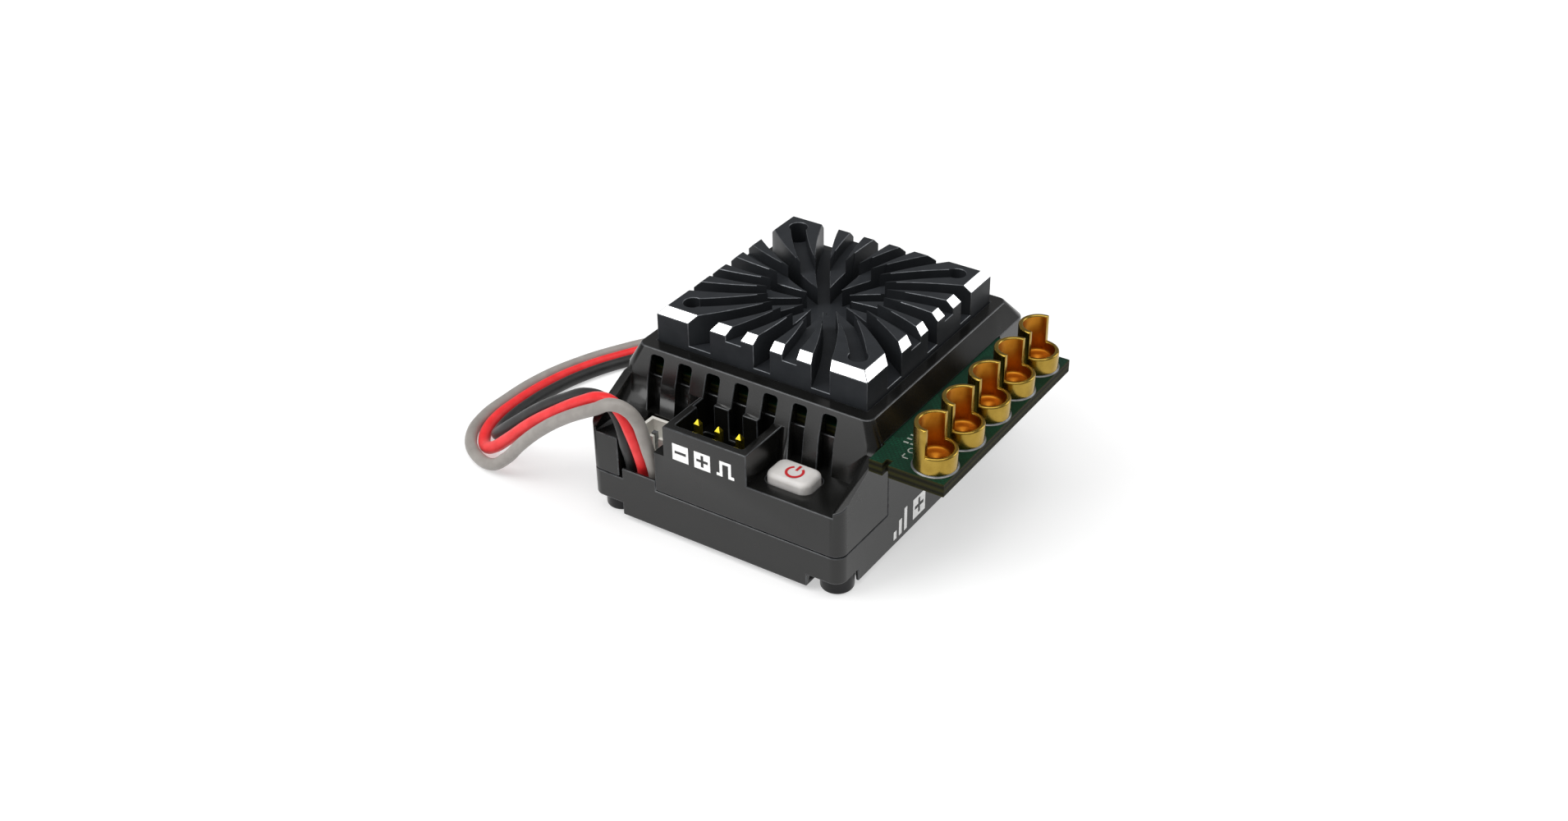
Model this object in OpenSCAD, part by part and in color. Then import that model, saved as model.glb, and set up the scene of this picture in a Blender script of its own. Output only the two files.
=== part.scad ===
// Electronic speed controller for a small brushless motor, in millimetres.
// The parts are laid out around the heat sink's centre line, with z = 0 at the case's lower edge,
// and place() moves every one of them to the part's own origin: the middle of the footprint,
// at the level of the screw heads that it stands on.

/* [Case] */
// Width of the case across X
case_w = 30.7; // [30:0.1:32]
// Distance from the heat sink's centre to the front face
case_front = 21.8; // [21.5:0.1:23]
// Distance from the heat sink's centre to the rear face
case_back = 16.2; // [16:0.1:18]
// Radius of the case's upright corners
case_corner = 1.3; // [0.8:0.1:1.6]
// Wall thickness of both case halves
wall = 1.2; // [1:0.1:1.4]
// Height of the seam between the case halves
seam_z = 4.6; // [4.4:0.1:5]
// Width of the groove that shows at the seam
seam_gap = 0.12; // [0.08:0.02:0.2]
// Height of the frame around the heat sink
shoulder_z = 16.3; // [16:0.1:16.6]
// Height of the deck that the button stands in
deck_z = 9.45; // [9.2:0.05:9.6]
// Thickness of the deck
deck_t = 0.95; // [0.8:0.05:1.1]

/* [Cooling] */
// Side of the square heat sink
sink_side = 25.4; // [25:0.1:25.6]
// Height of the heat sink's top
sink_top = 20.25; // [19.5:0.05:21]
// Size of the bright chamfer on its top edges
sink_chamfer = 0.84; // [0.4:0.02:1]
// Distance between the fan screw holes
fan_pitch = 20; // [19.6:0.1:20.2]
// Radius of the fan screw holes
fan_hole_r = 1.03; // [0.9:0.01:1.2]
// Number of vent slots in the front slope
vents = 7; // [5:1:7]
// Distance between vent slots
vent_pitch = 3.5; // [3.3:0.1:3.6]
// Width of a vent slot
vent_w = 1.65; // [1.2:0.05:1.8]

/* [Motor and battery posts] */
// Number of solder posts
posts = 5; // [3:1:5]
// Distance between posts
post_pitch = 5.36; // [5:0.02:5.4]
// Outer radius of a post
post_r = 2.2; // [2:0.05:2.3]
// Inner radius of a post's cup
cup_r = 1.68; // [1.5:0.02:1.8]
// Height of a post above the board
post_h = 5.05; // [4:0.05:6]
// Height of the low side of the rim above the board
post_low_h = 2.05; // [1.6:0.05:3]

/* [Controls] */
// Width of the power button
button_w = 5.1; // [4.8:0.1:5.8]
// Depth of the power button
button_d = 3.4; // [3.1:0.1:3.9]
// Height that the button stands out of the deck
button_h = 1.15; // [0.9:0.05:1.6]
// Travel of the power button
button_travel = 0.4; // [0.2:0.05:0.5]
// Pitch of the receiver pins
pin_pitch = 2.54; // [2.54]

/* [Receiver lead] */
// Radius of one wire's solid
wire_r = 0.65; // [0.6:0.01:0.69]
// Distance between neighbouring wires
wire_pitch = 1.41; // [1.4:0.01:1.5]
// Radius of the middle wire in the stowed coil
coil_r = 7.8; // [7.5:0.1:8.4]

/* [Hidden] */
$fn = 48;
eps = 0.01;

half_w = case_w / 2;
inner_w = half_w - wall;
// the recess in front of the heat sink, and the rooms inside the case
recess_top_y = -15.4;
recess_foot_y = -15.9;
room_front = -13.9;
room_back = case_back - 1.8;
roof_z = shoulder_z - 1.2;
front_room = -case_front + wall;
floor_t = 1.2;
// the cap's slopes
shoulder_w = 14.1;
shoulder_front = -14.4;
shoulder_back = case_back - 2;
side_slope_z = 13.95;
front_slope_z = 13.15;
wing_in = half_w - 1;
wing_front_z = 9.9;
// the receiver socket stands on the front face
socket_x = [-5.65, 4.43];
socket_wall = 0.9;
socket_top = 13.05;
socket_floor = 6.2;
// the bay that the lead and the fan socket share
bay_x = [-11.65, -6.95];
bay_back = -15.95;
lip_z = 5.85;
lip_t = 0.35;
// screws in the case's corners
screw_x = 13.4;
screw_front_y = -19.2;
screw_back_y = case_back - 2.6;
screw_head_r = 1.75;
screw_shank_r = 0.8;
screw_stand = 0.65;
notch_z = 1.45;
boss_r = 1.8;
// boards
board_bottom = 12.49;
board_top = 13.94;
neck_x = 16.95;
tab_x = [17.56, 23.7];
tab_y = [-16.8, 10.1];
ctrl_bottom = 3.4;
ctrl_top = 4.6;
raised_wall_y = [-12.7, 10.2];
// posts
post_x = 21.35;
post_first_y = -14.27;
spigot_r = 0.9;
cup_floor_h = 0.95;
// the tall side opens slightly towards its rim
draft = 0.14;
// heat sink channels
sink_half = sink_side / 2;
channel_floor = 16.75;
groove_floor = 18.8;
sink_bottom = 15.39;
first_channel = 1.4;
channel_arc_r = 39.3;
channel_bow = 0.5;
channel_w = 1.2;
channel_taper = 1.7;
groove_w = 1.7;
package_h = 1;
// capacitor cans
can_r = 3.15;
can_h = 7;
can_pitch = 7.2;
// controls
button_at = [7.75, -18.25];
button_corner = 1;
flange = 0.4;
flange_t = 0.35;
flange_gap = 0.1;
pin_w = 0.64;
pins_at = [-0.83, -18.84];
switch_h = 2.6;
plunger_r = 0.9;
// stowed lead
ground = -screw_stand;
coil_at = [-12.5, 27.2];
turns_high = 2;
tie_t = 0.2;
tie_w = 2;
coil_half = 1.5 * wire_pitch;
coil_top = ground + tie_t + turns_high * wire_pitch;
plug_l = 14;
plug_w = 7.9;
plug_h = 2.6;
plug_at = [-2.4, 20.7];
contact_w = 1.8;

// Route of each wire from the board to the coil: up through the bay, over the case's left edge,
// down to the ground and round behind the case.
route_black = [[-10.97, -20.3, 4.6], [-10.97, -20.3, 5.4], [-10.97, -20.65, 7], [-10.97, -21.15, 8.6],
    [-11.05, -21.4, 10.3], [-12, -21, 11.7], [-13.6, -20.5, 12.5], [-16.2, -20.2, 12.4],
    [-19.6, -20.1, 10.6], [-23.3, -20, 8.1], [-26.8, -19.9, 5.2], [-29.3, -19.6, 3], [-31.2, -18.6, 1.2],
    [-32.6, -16.8, 0.2], [-33.3, -14.3, 0.04], [-33.5, -11.5, 0.04], [-33.1, -6.6, 0.04],
    [-31.9, -1.9, 0.04], [-29.7, 2.8, 0.04], [-26.8, 7.4, 0.04], [-23.3, 11.6, 0.04], [-19.4, 15, 0.04],
    [-16, 17.2, 0.04], [-12.5, 18, 0.24]];
route_red = [[-9.52, -20.3, 4.6], [-9.52, -20.3, 5.4], [-9.52, -20.65, 7], [-9.55, -21.15, 8.7],
    [-9.8, -21.7, 10.8], [-10.6, -21.8, 12.6], [-12.1, -21.6, 13.6], [-13.9, -21.5, 13.4],
    [-16, -21.5, 12.3], [-20.2, -21.4, 9.4], [-23.8, -21.3, 6.6], [-27.2, -21.3, 3.5], [-29.7, -21, 1.4],
    [-31.9, -20, 0.2], [-33.7, -17.9, 0.04], [-34.7, -15, 0.04], [-34.9, -11.4, 0.04], [-34.5, -6.3, 0.04],
    [-33.2, -1.4, 0.04], [-30.9, 3.5, 0.04], [-27.9, 8.2, 0.04], [-24.3, 12.5, 0.04], [-20.2, 16.1, 0.04],
    [-16.4, 18.5, 0.04], [-12.5, 19.4, 0.24]];
route_grey = [[-8.08, -20.3, 4.6], [-8.08, -20.3, 5.4], [-8.08, -20.65, 7], [-8.12, -21.2, 8.9],
    [-8.25, -21.7, 11], [-8.6, -22, 12.6], [-9.5, -22.4, 13.9], [-11, -22.8, 14.3], [-13.2, -22.9, 13.1],
    [-17.4, -22.8, 10.5], [-21, -22.7, 7.7], [-24.2, -22.6, 4.6], [-26.5, -22.6, 2], [-28.7, -22.6, 0.4],
    [-31.8, -21.7, 0.04], [-34.6, -19.3, 0.04], [-36.1, -15.5, 0.04], [-36.3, -11.3, 0.04],
    [-35.9, -6, 0.04], [-34.5, -0.9, 0.04], [-32.1, 4.2, 0.04], [-29, 9, 0.04], [-25.3, 13.4, 0.04],
    [-21, 17.2, 0.04], [-16.8, 19.8, 0.04], [-12.5, 20.8, 0.24]];

function unit(v) = v / norm(v);
// direction of the route at a point, along the chord of its two neighbours
function heading(route, i) =
    unit(route[min(i + 1, len(route) - 1)] - route[max(i - 1, 0)]);
// one ring of eight points round the route, its first point kept on the same side all along
function ring(route, i, r) = let (
    t = heading(route, i),
    side = unit(cross(t, abs(t[2]) > 0.8 ? [1, 0, 0] : [0, 0, 1])),
    up = cross(side, t))
    [for (a = [0:45:315]) route[i] + r * (cos(a) * side + sin(a) * up)];

module place() {
    translate([-(tab_x[1] - half_w) / 2, (case_front - case_back) / 2, screw_stand]) children();
}

// a rectangle with round corners, from true arcs
module round_rect(x, y, r) {
    translate([x[0] + r, y[0]]) square([x[1] - x[0] - 2 * r, y[1] - y[0]]);
    translate([x[0], y[0] + r]) square([x[1] - x[0], y[1] - y[0] - 2 * r]);
    for (cx = [x[0] + r, x[1] - r], cy = [y[0] + r, y[1] - r]) translate([cx, cy]) circle(r);
}

module slab(x, y, z, r = 0) {
    translate([0, 0, z[0]]) linear_extrude(z[1] - z[0])
        if (r > 0) round_rect(x, y, r);
        else translate([x[0], y[0]]) square([x[1] - x[0], y[1] - y[0]]);
}

module post_at(p, r, z) {
    translate([p[0], p[1], z[0]]) cylinder(r = r, h = z[1] - z[0]);
}

// an outline in Y and Z, drawn out along X
module along_x(x, outline) {
    translate([x[0], 0, 0]) rotate([90, 0, 90]) linear_extrude(x[1] - x[0]) polygon(outline);
}

module case_outline(z) {
    slab([-half_w, half_w], [-case_front, case_back], z, case_corner);
}

module screw_places() {
    for (sx = [-1, 1], y = [screw_front_y, screw_back_y]) translate([sx * screw_x, y, 0]) children();
}

// ---------------------------------------------------------------- case
module lower_case() {
    place() color("#3b3b39") difference() {
        union() {
            difference() {
                case_outline([0, seam_z]);
                slab([-inner_w, inner_w], [front_room, room_back], [floor_t, seam_z + 1]);
            }
            // the wall under the power board belongs to this half
            slab([inner_w, half_w], raised_wall_y, [seam_z - 1, board_bottom]);
            // thin lip that closes the lead's slot
            slab([bay_x[0] + 0.4, bay_x[1]], [-case_front, -case_front + lip_t], [seam_z - 1, lip_z]);
            screw_places() translate([0, 0, floor_t]) cylinder(r = boss_r, h = seam_z - floor_t);
            for (sx = [-1, 1], y = [-10, 9])
                post_at([sx * 9, y], 1.2, [floor_t, ctrl_bottom]);
        }
        slab([bay_x[0], bay_x[1]], [-case_front + lip_t, front_room + 1], [ctrl_bottom, seam_z + 1]);
        // corners are cut away around the screw heads
        for (sx = [-1, 1], front = [true, false]) {
            y = front ? -case_front - 1 : case_back - 3.5;
            translate([sx > 0 ? half_w - 3.95 : -half_w - 1, y, -1]) cube([4.95, 4.5, 1 + notch_z]);
        }
        screw_places() {
            translate([0, 0, -1]) cylinder(r = screw_head_r + 0.12, h = 1 + notch_z);
            translate([0, 0, -1]) cylinder(r = screw_shank_r + 0.1, h = seam_z + 2);
        }
    }
}

module case_cap() {
    hull() {
        slab([-half_w, half_w], [recess_top_y, case_back], [front_slope_z, front_slope_z + eps], case_corner);
        slab([-half_w, half_w], [recess_top_y + 0.25, case_back], [side_slope_z, side_slope_z + eps],
            case_corner);
        slab([-shoulder_w, shoulder_w], [shoulder_front, shoulder_back], [shoulder_z - eps, shoulder_z], 1);
    }
}

module case_shell() {
    difference() {
        union() {
            case_outline([seam_z + seam_gap, deck_z]);
            intersection() {
                case_outline([deck_z - 1, shoulder_z]);
                union() {
                    along_x([-half_w, half_w], [[recess_foot_y, deck_z - 1], [recess_foot_y, deck_z],
                        [recess_top_y, front_slope_z], [case_back, front_slope_z], [case_back, deck_z - 1]]);
                    for (x = [-half_w, wing_in])
                        along_x([x, x + half_w - wing_in], [[-case_front, deck_z - 1],
                            [-case_front, wing_front_z], [recess_top_y, front_slope_z],
                            [recess_top_y + 1, front_slope_z], [recess_top_y + 1, deck_z - 1]]);
                }
            }
            case_cap();
        }
        slab([-inner_w, inner_w], [room_front, room_back], [seam_z, roof_z]);
        slab([-inner_w, inner_w], [front_room, room_front + 1], [seam_z, deck_z - deck_t]);
    }
}

module vent(x) {
    // the slot opens into the case in the slope, and runs on below as a channel
    translate([x, 0, 0]) {
        slab([-vent_w / 2, vent_w / 2], [-17, room_front + 1], [front_slope_z, 15.28]);
        slab([-vent_w / 2 + 0.4, vent_w / 2 - 0.4], [-17, room_front + 1], [front_slope_z, 15.68]);
        for (s = [-1, 1]) translate([s * (vent_w / 2 - 0.4), -17, 15.28]) rotate([-90, 0, 0])
            cylinder(r = 0.4, h = room_front + 18);
        slab([-vent_w / 2, vent_w / 2], [-17, -14.45], [deck_z, front_slope_z + eps]);
    }
}

module upper_case() {
    socket_in = [socket_x[0] + socket_wall, socket_x[1] - socket_wall];
    place() color("#3b3b39") difference() {
        union() {
            case_shell();
            slab(socket_x, [-case_front, recess_top_y], [socket_floor - 0.8, socket_top]);
            screw_places() translate([0, 0, seam_z + seam_gap]) cylinder(r = boss_r, h = 4.2);
        }
        // heat sink opening
        slab([-sink_half - 0.06, sink_half + 0.06], [-sink_half - 0.06, sink_half + 0.06],
            [roof_z - 1, shoulder_z + 1]);
        for (i = [0:vents - 1]) vent((i - (vents - 1) / 2) * vent_pitch - 0.87);
        // receiver socket, and the hole in its floor for the pin header
        slab(socket_in, [-case_front + socket_wall, recess_foot_y], [socket_floor, socket_top + 1], 0.3);
        slab([pins_at[0] - 3.87, pins_at[0] + 3.87], [pins_at[1] - 1.33, pins_at[1] + 1.33],
            [seam_z, socket_floor + eps]);
        // bay for the lead and the fan socket
        slab(bay_x, [-case_front - 1, bay_back], [seam_z, deck_z + 1]);
        // button hole
        slab([button_at[0] - button_w / 2 - 0.15, button_at[0] + button_w / 2 + 0.15],
            [button_at[1] - button_d / 2 - 0.15, button_at[1] + button_d / 2 + 0.15],
            [deck_z - 2, deck_z + 1], button_corner + 0.15);
        // the power board leaves through the right wall
        slab([inner_w - eps, half_w + 1], [room_front, raised_wall_y[1]], [board_bottom, board_top + 0.06]);
        slab([inner_w - eps, half_w + 1], [raised_wall_y[0] - 0.1, raised_wall_y[1] + 0.1],
            [seam_z - 1, board_top + 0.06]);
        screw_places() translate([0, 0, seam_z - 1]) cylinder(r = screw_shank_r, h = 4.6);
    }
}

module case_screws() {
    place() color("#2c2c2c") screw_places() {
        difference() {
            translate([0, 0, -screw_stand]) cylinder(r = screw_head_r, h = screw_stand + notch_z);
            translate([0, 0, -screw_stand - eps]) cylinder(r = 0.75, h = 1.1, $fn = 6);
        }
        translate([0, 0, notch_z - eps]) cylinder(r = screw_shank_r, h = 6.4);
    }
}

// ---------------------------------------------------------------- cooling
// A curved channel from the centre outwards along +X, bowed to its left
module channel_shape(w, taper) {
    intersection() {
        translate([0, -5]) square([22, 10]);
        difference() {
            rotate(taper) translate([6.25, channel_bow - channel_arc_r + w / 2])
                circle(channel_arc_r, $fn = 240);
            rotate(-taper) translate([6.25, channel_bow - channel_arc_r - w / 2])
                circle(channel_arc_r, $fn = 240);
        }
    }
}

module heatsink() {
    place() color("#333639") difference() {
        slab([-sink_half, sink_half], [-sink_half, sink_half], [sink_bottom, sink_top]);
        for (a = [0:90:270]) rotate(a)
            translate([-sink_half - 1, 0, 0]) along_x([0, sink_side + 2],
                [[-sink_half - 1, sink_top - sink_chamfer - 1], [-sink_half - 1, sink_top + 1],
                 [-sink_half + sink_chamfer + 1, sink_top + 1]]);
        // deep channels cut the block into pairs of fins, shallow grooves split each pair
        for (a = [0:30:330]) rotate(a + first_channel) translate([0, 0, channel_floor])
            linear_extrude(5) channel_shape(channel_w, channel_taper);
        for (a = [15:30:345]) rotate(a + first_channel) translate([0, 0, groove_floor])
            linear_extrude(3) intersection() {
                channel_shape(groove_w, 0);
                circle(a % 90 == 45 ? fan_pitch * sqrt(0.5) : 22);
            }
        for (sx = [-1, 1], sy = [-1, 1])
            post_at([sx * fan_pitch / 2, sy * fan_pitch / 2], fan_hole_r, [sink_bottom + 0.6, sink_top + 1]);
    }
}

module thermal_pad() {
    place() color("#8f9aa5") slab([-12, 12], [-12, 12], [board_top + package_h, sink_bottom]);
}

module power_transistors() {
    place() color("#1c1c1e") for (x = [-9.5:3.8:9.5], y = [-7, 0.2, 7.4])
        translate([x - 1.6, y - 2.6, board_top]) cube([3.2, 5.2, package_h]);
}

// ---------------------------------------------------------------- boards
module power_board() {
    place() color("#0f3d2a") difference() {
        union() {
            slab([-inner_w + 0.2, inner_w], [room_front + 0.15, room_back - 0.2], [board_bottom, board_top]);
            slab([inner_w - 1, half_w + 0.06], [room_front + 0.15, tab_y[1]], [board_bottom, board_top]);
            slab([half_w + 0.05, neck_x], tab_y, [board_bottom, board_top]);
            slab([neck_x - 1, tab_x[0] + 1], [tab_y[0] + 0.9, tab_y[1]], [board_bottom, board_top]);
            slab(tab_x, tab_y, [board_bottom, board_top]);
        }
        for (i = [0:posts - 1])
            post_at([post_x, post_first_y + i * post_pitch], spigot_r, [board_bottom - 1, board_top + 1]);
    }
}

// a round cup with the side away from the case cut low, on a spigot through the board
module solder_post(i) {
    place() color("#d9a441") translate([post_x, post_first_y + i * post_pitch, board_top]) difference() {
        union() {
            cylinder(r = post_r, h = post_h);
            translate([0, 0, board_bottom - board_top]) cylinder(r = spigot_r, h = 2);
        }
        translate([0, 0, cup_floor_h]) cylinder(r = cup_r, h = post_low_h - cup_floor_h + eps);
        translate([0, 0, post_low_h]) cylinder(r1 = cup_r + eps, r2 = cup_r + draft, h = post_h);
        translate([-0.05, -3, post_low_h]) cube([3, 6, post_h]);
    }
}
module solder_post_1() { solder_post(0); }
module solder_post_2() { solder_post(1); }
module solder_post_3() { solder_post(2); }
module solder_post_4() { solder_post(3); }
module solder_post_5() { solder_post(4); }

module bulk_capacitors() {
    place() color("#9a9da1") for (i = [-1:1])
        post_at([-1.8 + i * can_pitch, -9.2], can_r, [ctrl_top, ctrl_top + can_h]);
}

module header_pins(n, pitch, w, z) {
    for (i = [0:n - 1]) translate([(i - (n - 1) / 2) * pitch - w / 2, -w / 2, z[0]])
        cube([w, w, z[1] - z[0]]);
}

module control_board() {
    place() color("#14452f") difference() {
        slab([-inner_w + 0.2, inner_w - 0.2], [front_room + 0.15, room_back - 0.2], [ctrl_bottom, ctrl_top]);
        screw_places() translate([-3, -3, 0]) cube([6, 6, 8]);
        translate([pins_at[0], pins_at[1], 0]) header_pins(3, pin_pitch, pin_w, [0, 8]);
        translate([0, 11.5, 0]) header_pins(8, 2, 0.5, [0, 8]);
        translate([-9.1, -17.7, 0]) header_pins(2, 1.5, 0.5, [0, 8]);
    }
}

module microcontroller() {
    place() color("#1a1a1a") slab([-11, -4], [-3, 4], [ctrl_top, ctrl_top + 0.9]);
}

module gate_drivers() {
    place() color("#1a1a1a") for (y = [-3.5, 2, 7.5])
        slab([8, 12], [y, y + 4], [ctrl_top, ctrl_top + 0.9]);
}

module voltage_regulator() {
    place() color("#1a1a1a") slab([-10.5, -5.5], [5.2, 8.8], [ctrl_top, ctrl_top + 1.6]);
}

module choke() {
    place() color("#3a3a3d") slab([-1, 5], [-1.5, 4.5], [ctrl_top, ctrl_top + 3], 0.8);
}

module crystal() {
    place() color("#c9ccd0") slab([-2, 1.2], [6, 8.5], [ctrl_top, ctrl_top + 0.8], 0.3);
}

module link_header_base() {
    place() color("#17171a") translate([0, 11.5, 0]) difference() {
        slab([-8, 8], [-1.1, 1.1], [ctrl_top, ctrl_top + 2.5]);
        header_pins(8, 2, 0.5, [0, 12]);
    }
}

module link_header_pins() {
    place() color("#d4b04a") translate([0, 11.5, 0]) header_pins(8, 2, 0.5, [ctrl_bottom - 0.8, board_bottom]);
}

module receiver_header_base() {
    place() color("#17171a") translate([pins_at[0], pins_at[1], 0]) difference() {
        slab([-3.81, 3.81], [-1.27, 1.27], [ctrl_top, ctrl_top + 2.54]);
        header_pins(3, pin_pitch, pin_w, [0, 12]);
    }
}

module receiver_pins() {
    tip = 0.5;
    place() color("#e3c52f") translate([pins_at[0], pins_at[1], 0]) {
        header_pins(3, pin_pitch, pin_w, [ctrl_bottom - 0.8, socket_top - tip]);
        for (i = [-1:1]) translate([i * pin_pitch, 0, socket_top - tip]) rotate(45)
            cylinder(d1 = pin_w * sqrt(2), d2 = 0.12, h = tip, $fn = 4);
    }
}

module fan_socket() {
    x = [-11.35, -7.05];
    y = [-19.3, -16.1];
    place() color("#e9e7df") difference() {
        slab(x, y, [ctrl_top, 9.2]);
        slab([x[0] + 0.4, x[1] - 0.4], [y[0] + 0.4, y[1] - 0.4], [ctrl_top + 1.2, 10]);
        slab([x[0] + 1.2, x[0] + 1.9], [y[0] - 1, y[0] + 1], [7.4, 10]);
        slab([x[1] - 1.9, x[1] - 1.2], [y[0] - 1, y[0] + 1], [7.4, 10]);
        translate([-9.1, -17.7, 0]) header_pins(2, 1.5, 0.5, [0, 12]);
    }
}

module fan_socket_pins() {
    place() color("#c9ccd0") translate([-9.1, -17.7, 0]) header_pins(2, 1.5, 0.5, [ctrl_bottom - 0.6, 8.6]);
}

// ---------------------------------------------------------------- button
module switch_body() {
    place() color("#1c1c1e") translate([button_at[0], button_at[1], ctrl_top]) difference() {
        slab([-3, 3], [-1.75, 1.75], [0, switch_h]);
        translate([0, 0, switch_h - 1.4]) cylinder(r = plunger_r + 0.12, h = 3);
    }
}

module switch_cover() {
    place() color("#c2c5c9") translate([button_at[0], button_at[1], ctrl_top + switch_h]) difference() {
        slab([-3, 3], [-1.75, 1.75], [0, 0.2]);
        translate([0, 0, -1]) cylinder(r = plunger_r + 0.12, h = 3);
    }
}

// underside of the button's flange, which rests on the plunger
flange_bottom = deck_z - deck_t - flange_gap - flange_t;

module switch_plunger() {
    foot = ctrl_top + switch_h - 0.9;
    place() color("#e9e9e9") post_at(button_at, plunger_r, [foot, flange_bottom]);
}

module power_button() {
    x = [button_at[0] - button_w / 2, button_at[0] + button_w / 2];
    y = [button_at[1] - button_d / 2, button_at[1] + button_d / 2];
    soft = 0.4;
    place() color("#e8e8e4") {
        hull() {
            slab(x, y, [deck_z, deck_z + button_h - soft], button_corner);
            slab([x[0] + 0.12, x[1] - 0.12], [y[0] + 0.12, y[1] - 0.12],
                [deck_z, deck_z + button_h - 0.16], button_corner - 0.12);
            slab([x[0] + soft, x[1] - soft], [y[0] + soft, y[1] - soft], [deck_z, deck_z + button_h],
                button_corner - soft);
        }
        slab(x, y, [flange_bottom, deck_z], button_corner);
        slab([x[0] - flange, x[1] + flange], [y[0] - flange, y[1] + flange],
            [flange_bottom, flange_bottom + flange_t]);
    }
}

// ---------------------------------------------------------------- receiver lead
// One polyhedron of eight-sided rings, closed by a flat cap at each end
module wire(route) {
    n = len(route);
    side = 8;
    polyhedron(
        points = [for (i = [0:n - 1]) each ring(route, i, wire_r)],
        faces = [[for (k = [0:side - 1]) k], [for (k = [side - 1:-1:0]) (n - 1) * side + k],
            for (i = [0:n - 2], k = [0:side - 1])
                [i * side + k, (i + 1) * side + k, (i + 1) * side + (k + 1) % side, i * side + (k + 1) % side]]);
}

// from the coil's top layer down to the plug; row is 1 for black, 0 for red and -1 for grey
function tail(row) = let (
    y = coil_at[1] - coil_r - row * wire_pitch,
    end_y = plug_at[1] - row * pin_pitch,
    end_z = ground + plug_h / 2)
    [[coil_at[0], y, 1.65], [coil_at[0] + 2.4, y, 1.5], [coil_at[0] + 5, (y + end_y) / 2, 1],
     [plug_at[0] - 1.5, end_y, end_z], [plug_at[0], end_y, end_z]];

module lead(route, row) {
    place() {
        wire(route);
        wire(tail(row));
    }
}
module lead_black() { color("#1a1a1a") lead(route_black, 1); }
module lead_red() { color("#e03030") lead(route_red, 0); }
module lead_grey() { color("#8a8680") lead(route_grey, -1); }

// the ring that the three wires' turns fill, with a notch for the tie's lower band
module lead_coil() {
    place() color("#3a3a3a") translate([coil_at[0], coil_at[1], 0]) difference() {
        rotate_extrude($fn = 96) translate([coil_r - coil_half, ground])
            square([2 * coil_half, coil_top - ground]);
        translate([0, -tie_w / 2, ground - 1]) cube([20, tie_w, 1 + tie_t]);
    }
}

module coil_tie() {
    r_in = coil_r - coil_half;
    r_out = coil_r + coil_half;
    place() color("#202022") translate([coil_at[0], coil_at[1] - tie_w / 2, 0]) difference() {
        translate([r_in - tie_t - 0.1, 0, ground])
            cube([r_out - r_in + 2 * tie_t + 0.2, tie_w, coil_top - ground + tie_t]);
        translate([r_in - 0.1, -1, ground + tie_t])
            cube([r_out - r_in + 0.2, tie_w + 2, coil_top - ground - tie_t]);
    }
}

module servo_plug() {
    place() color("#1d1d1f") translate([plug_at[0], plug_at[1], ground]) difference() {
        translate([0, -plug_w / 2, 0]) cube([plug_l, plug_w, plug_h]);
        for (i = [-1:1]) translate([plug_l - 10, i * pin_pitch - contact_w / 2, (plug_h - contact_w) / 2])
            cube([11, contact_w, contact_w]);
    }
}

module plug_contacts() {
    place() color("#d4b04a") for (i = [-1:1])
        translate([plug_at[0] + plug_l - 10, plug_at[1] + i * pin_pitch - contact_w / 2,
            ground + (plug_h - contact_w) / 2]) difference() {
            cube([9.2, contact_w, contact_w]);
            translate([2.2, 0.5, 0.5]) cube([8, contact_w - 1, contact_w - 1]);
        }
}

lower_case();
upper_case();
heatsink();
thermal_pad();
power_transistors();
power_board();
solder_post_1();
solder_post_2();
solder_post_3();
solder_post_4();
solder_post_5();
bulk_capacitors();
control_board();
microcontroller();
gate_drivers();
voltage_regulator();
choke();
crystal();
link_header_base();
link_header_pins();
receiver_header_base();
receiver_pins();
fan_socket();
fan_socket_pins();
switch_body();
switch_cover();
switch_plunger();
power_button();
case_screws();
lead_black();
lead_red();
lead_grey();
lead_coil();
coil_tie();
servo_plug();
plug_contacts();
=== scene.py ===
# %% [markdown]
# # An electronic speed controller for a model car
# The real thing is a palm-sized brick: two moulded nylon shells around two circuit boards, a black
# heat sink with a swirl of fins on top, five gold posts for the motor and battery wires, one soft
# button and a thin three-wire lead to the receiver.
# The sizes and places are settled in the CAD model. This script loads it and gives each piece the edges,
# marks and surfaces that the eye looks for.

from math import cos, pi, radians, sin, sqrt, tau

import bmesh
import bpy
from mathutils import Matrix, Vector
from mathutils.kdtree import KDTree


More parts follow.
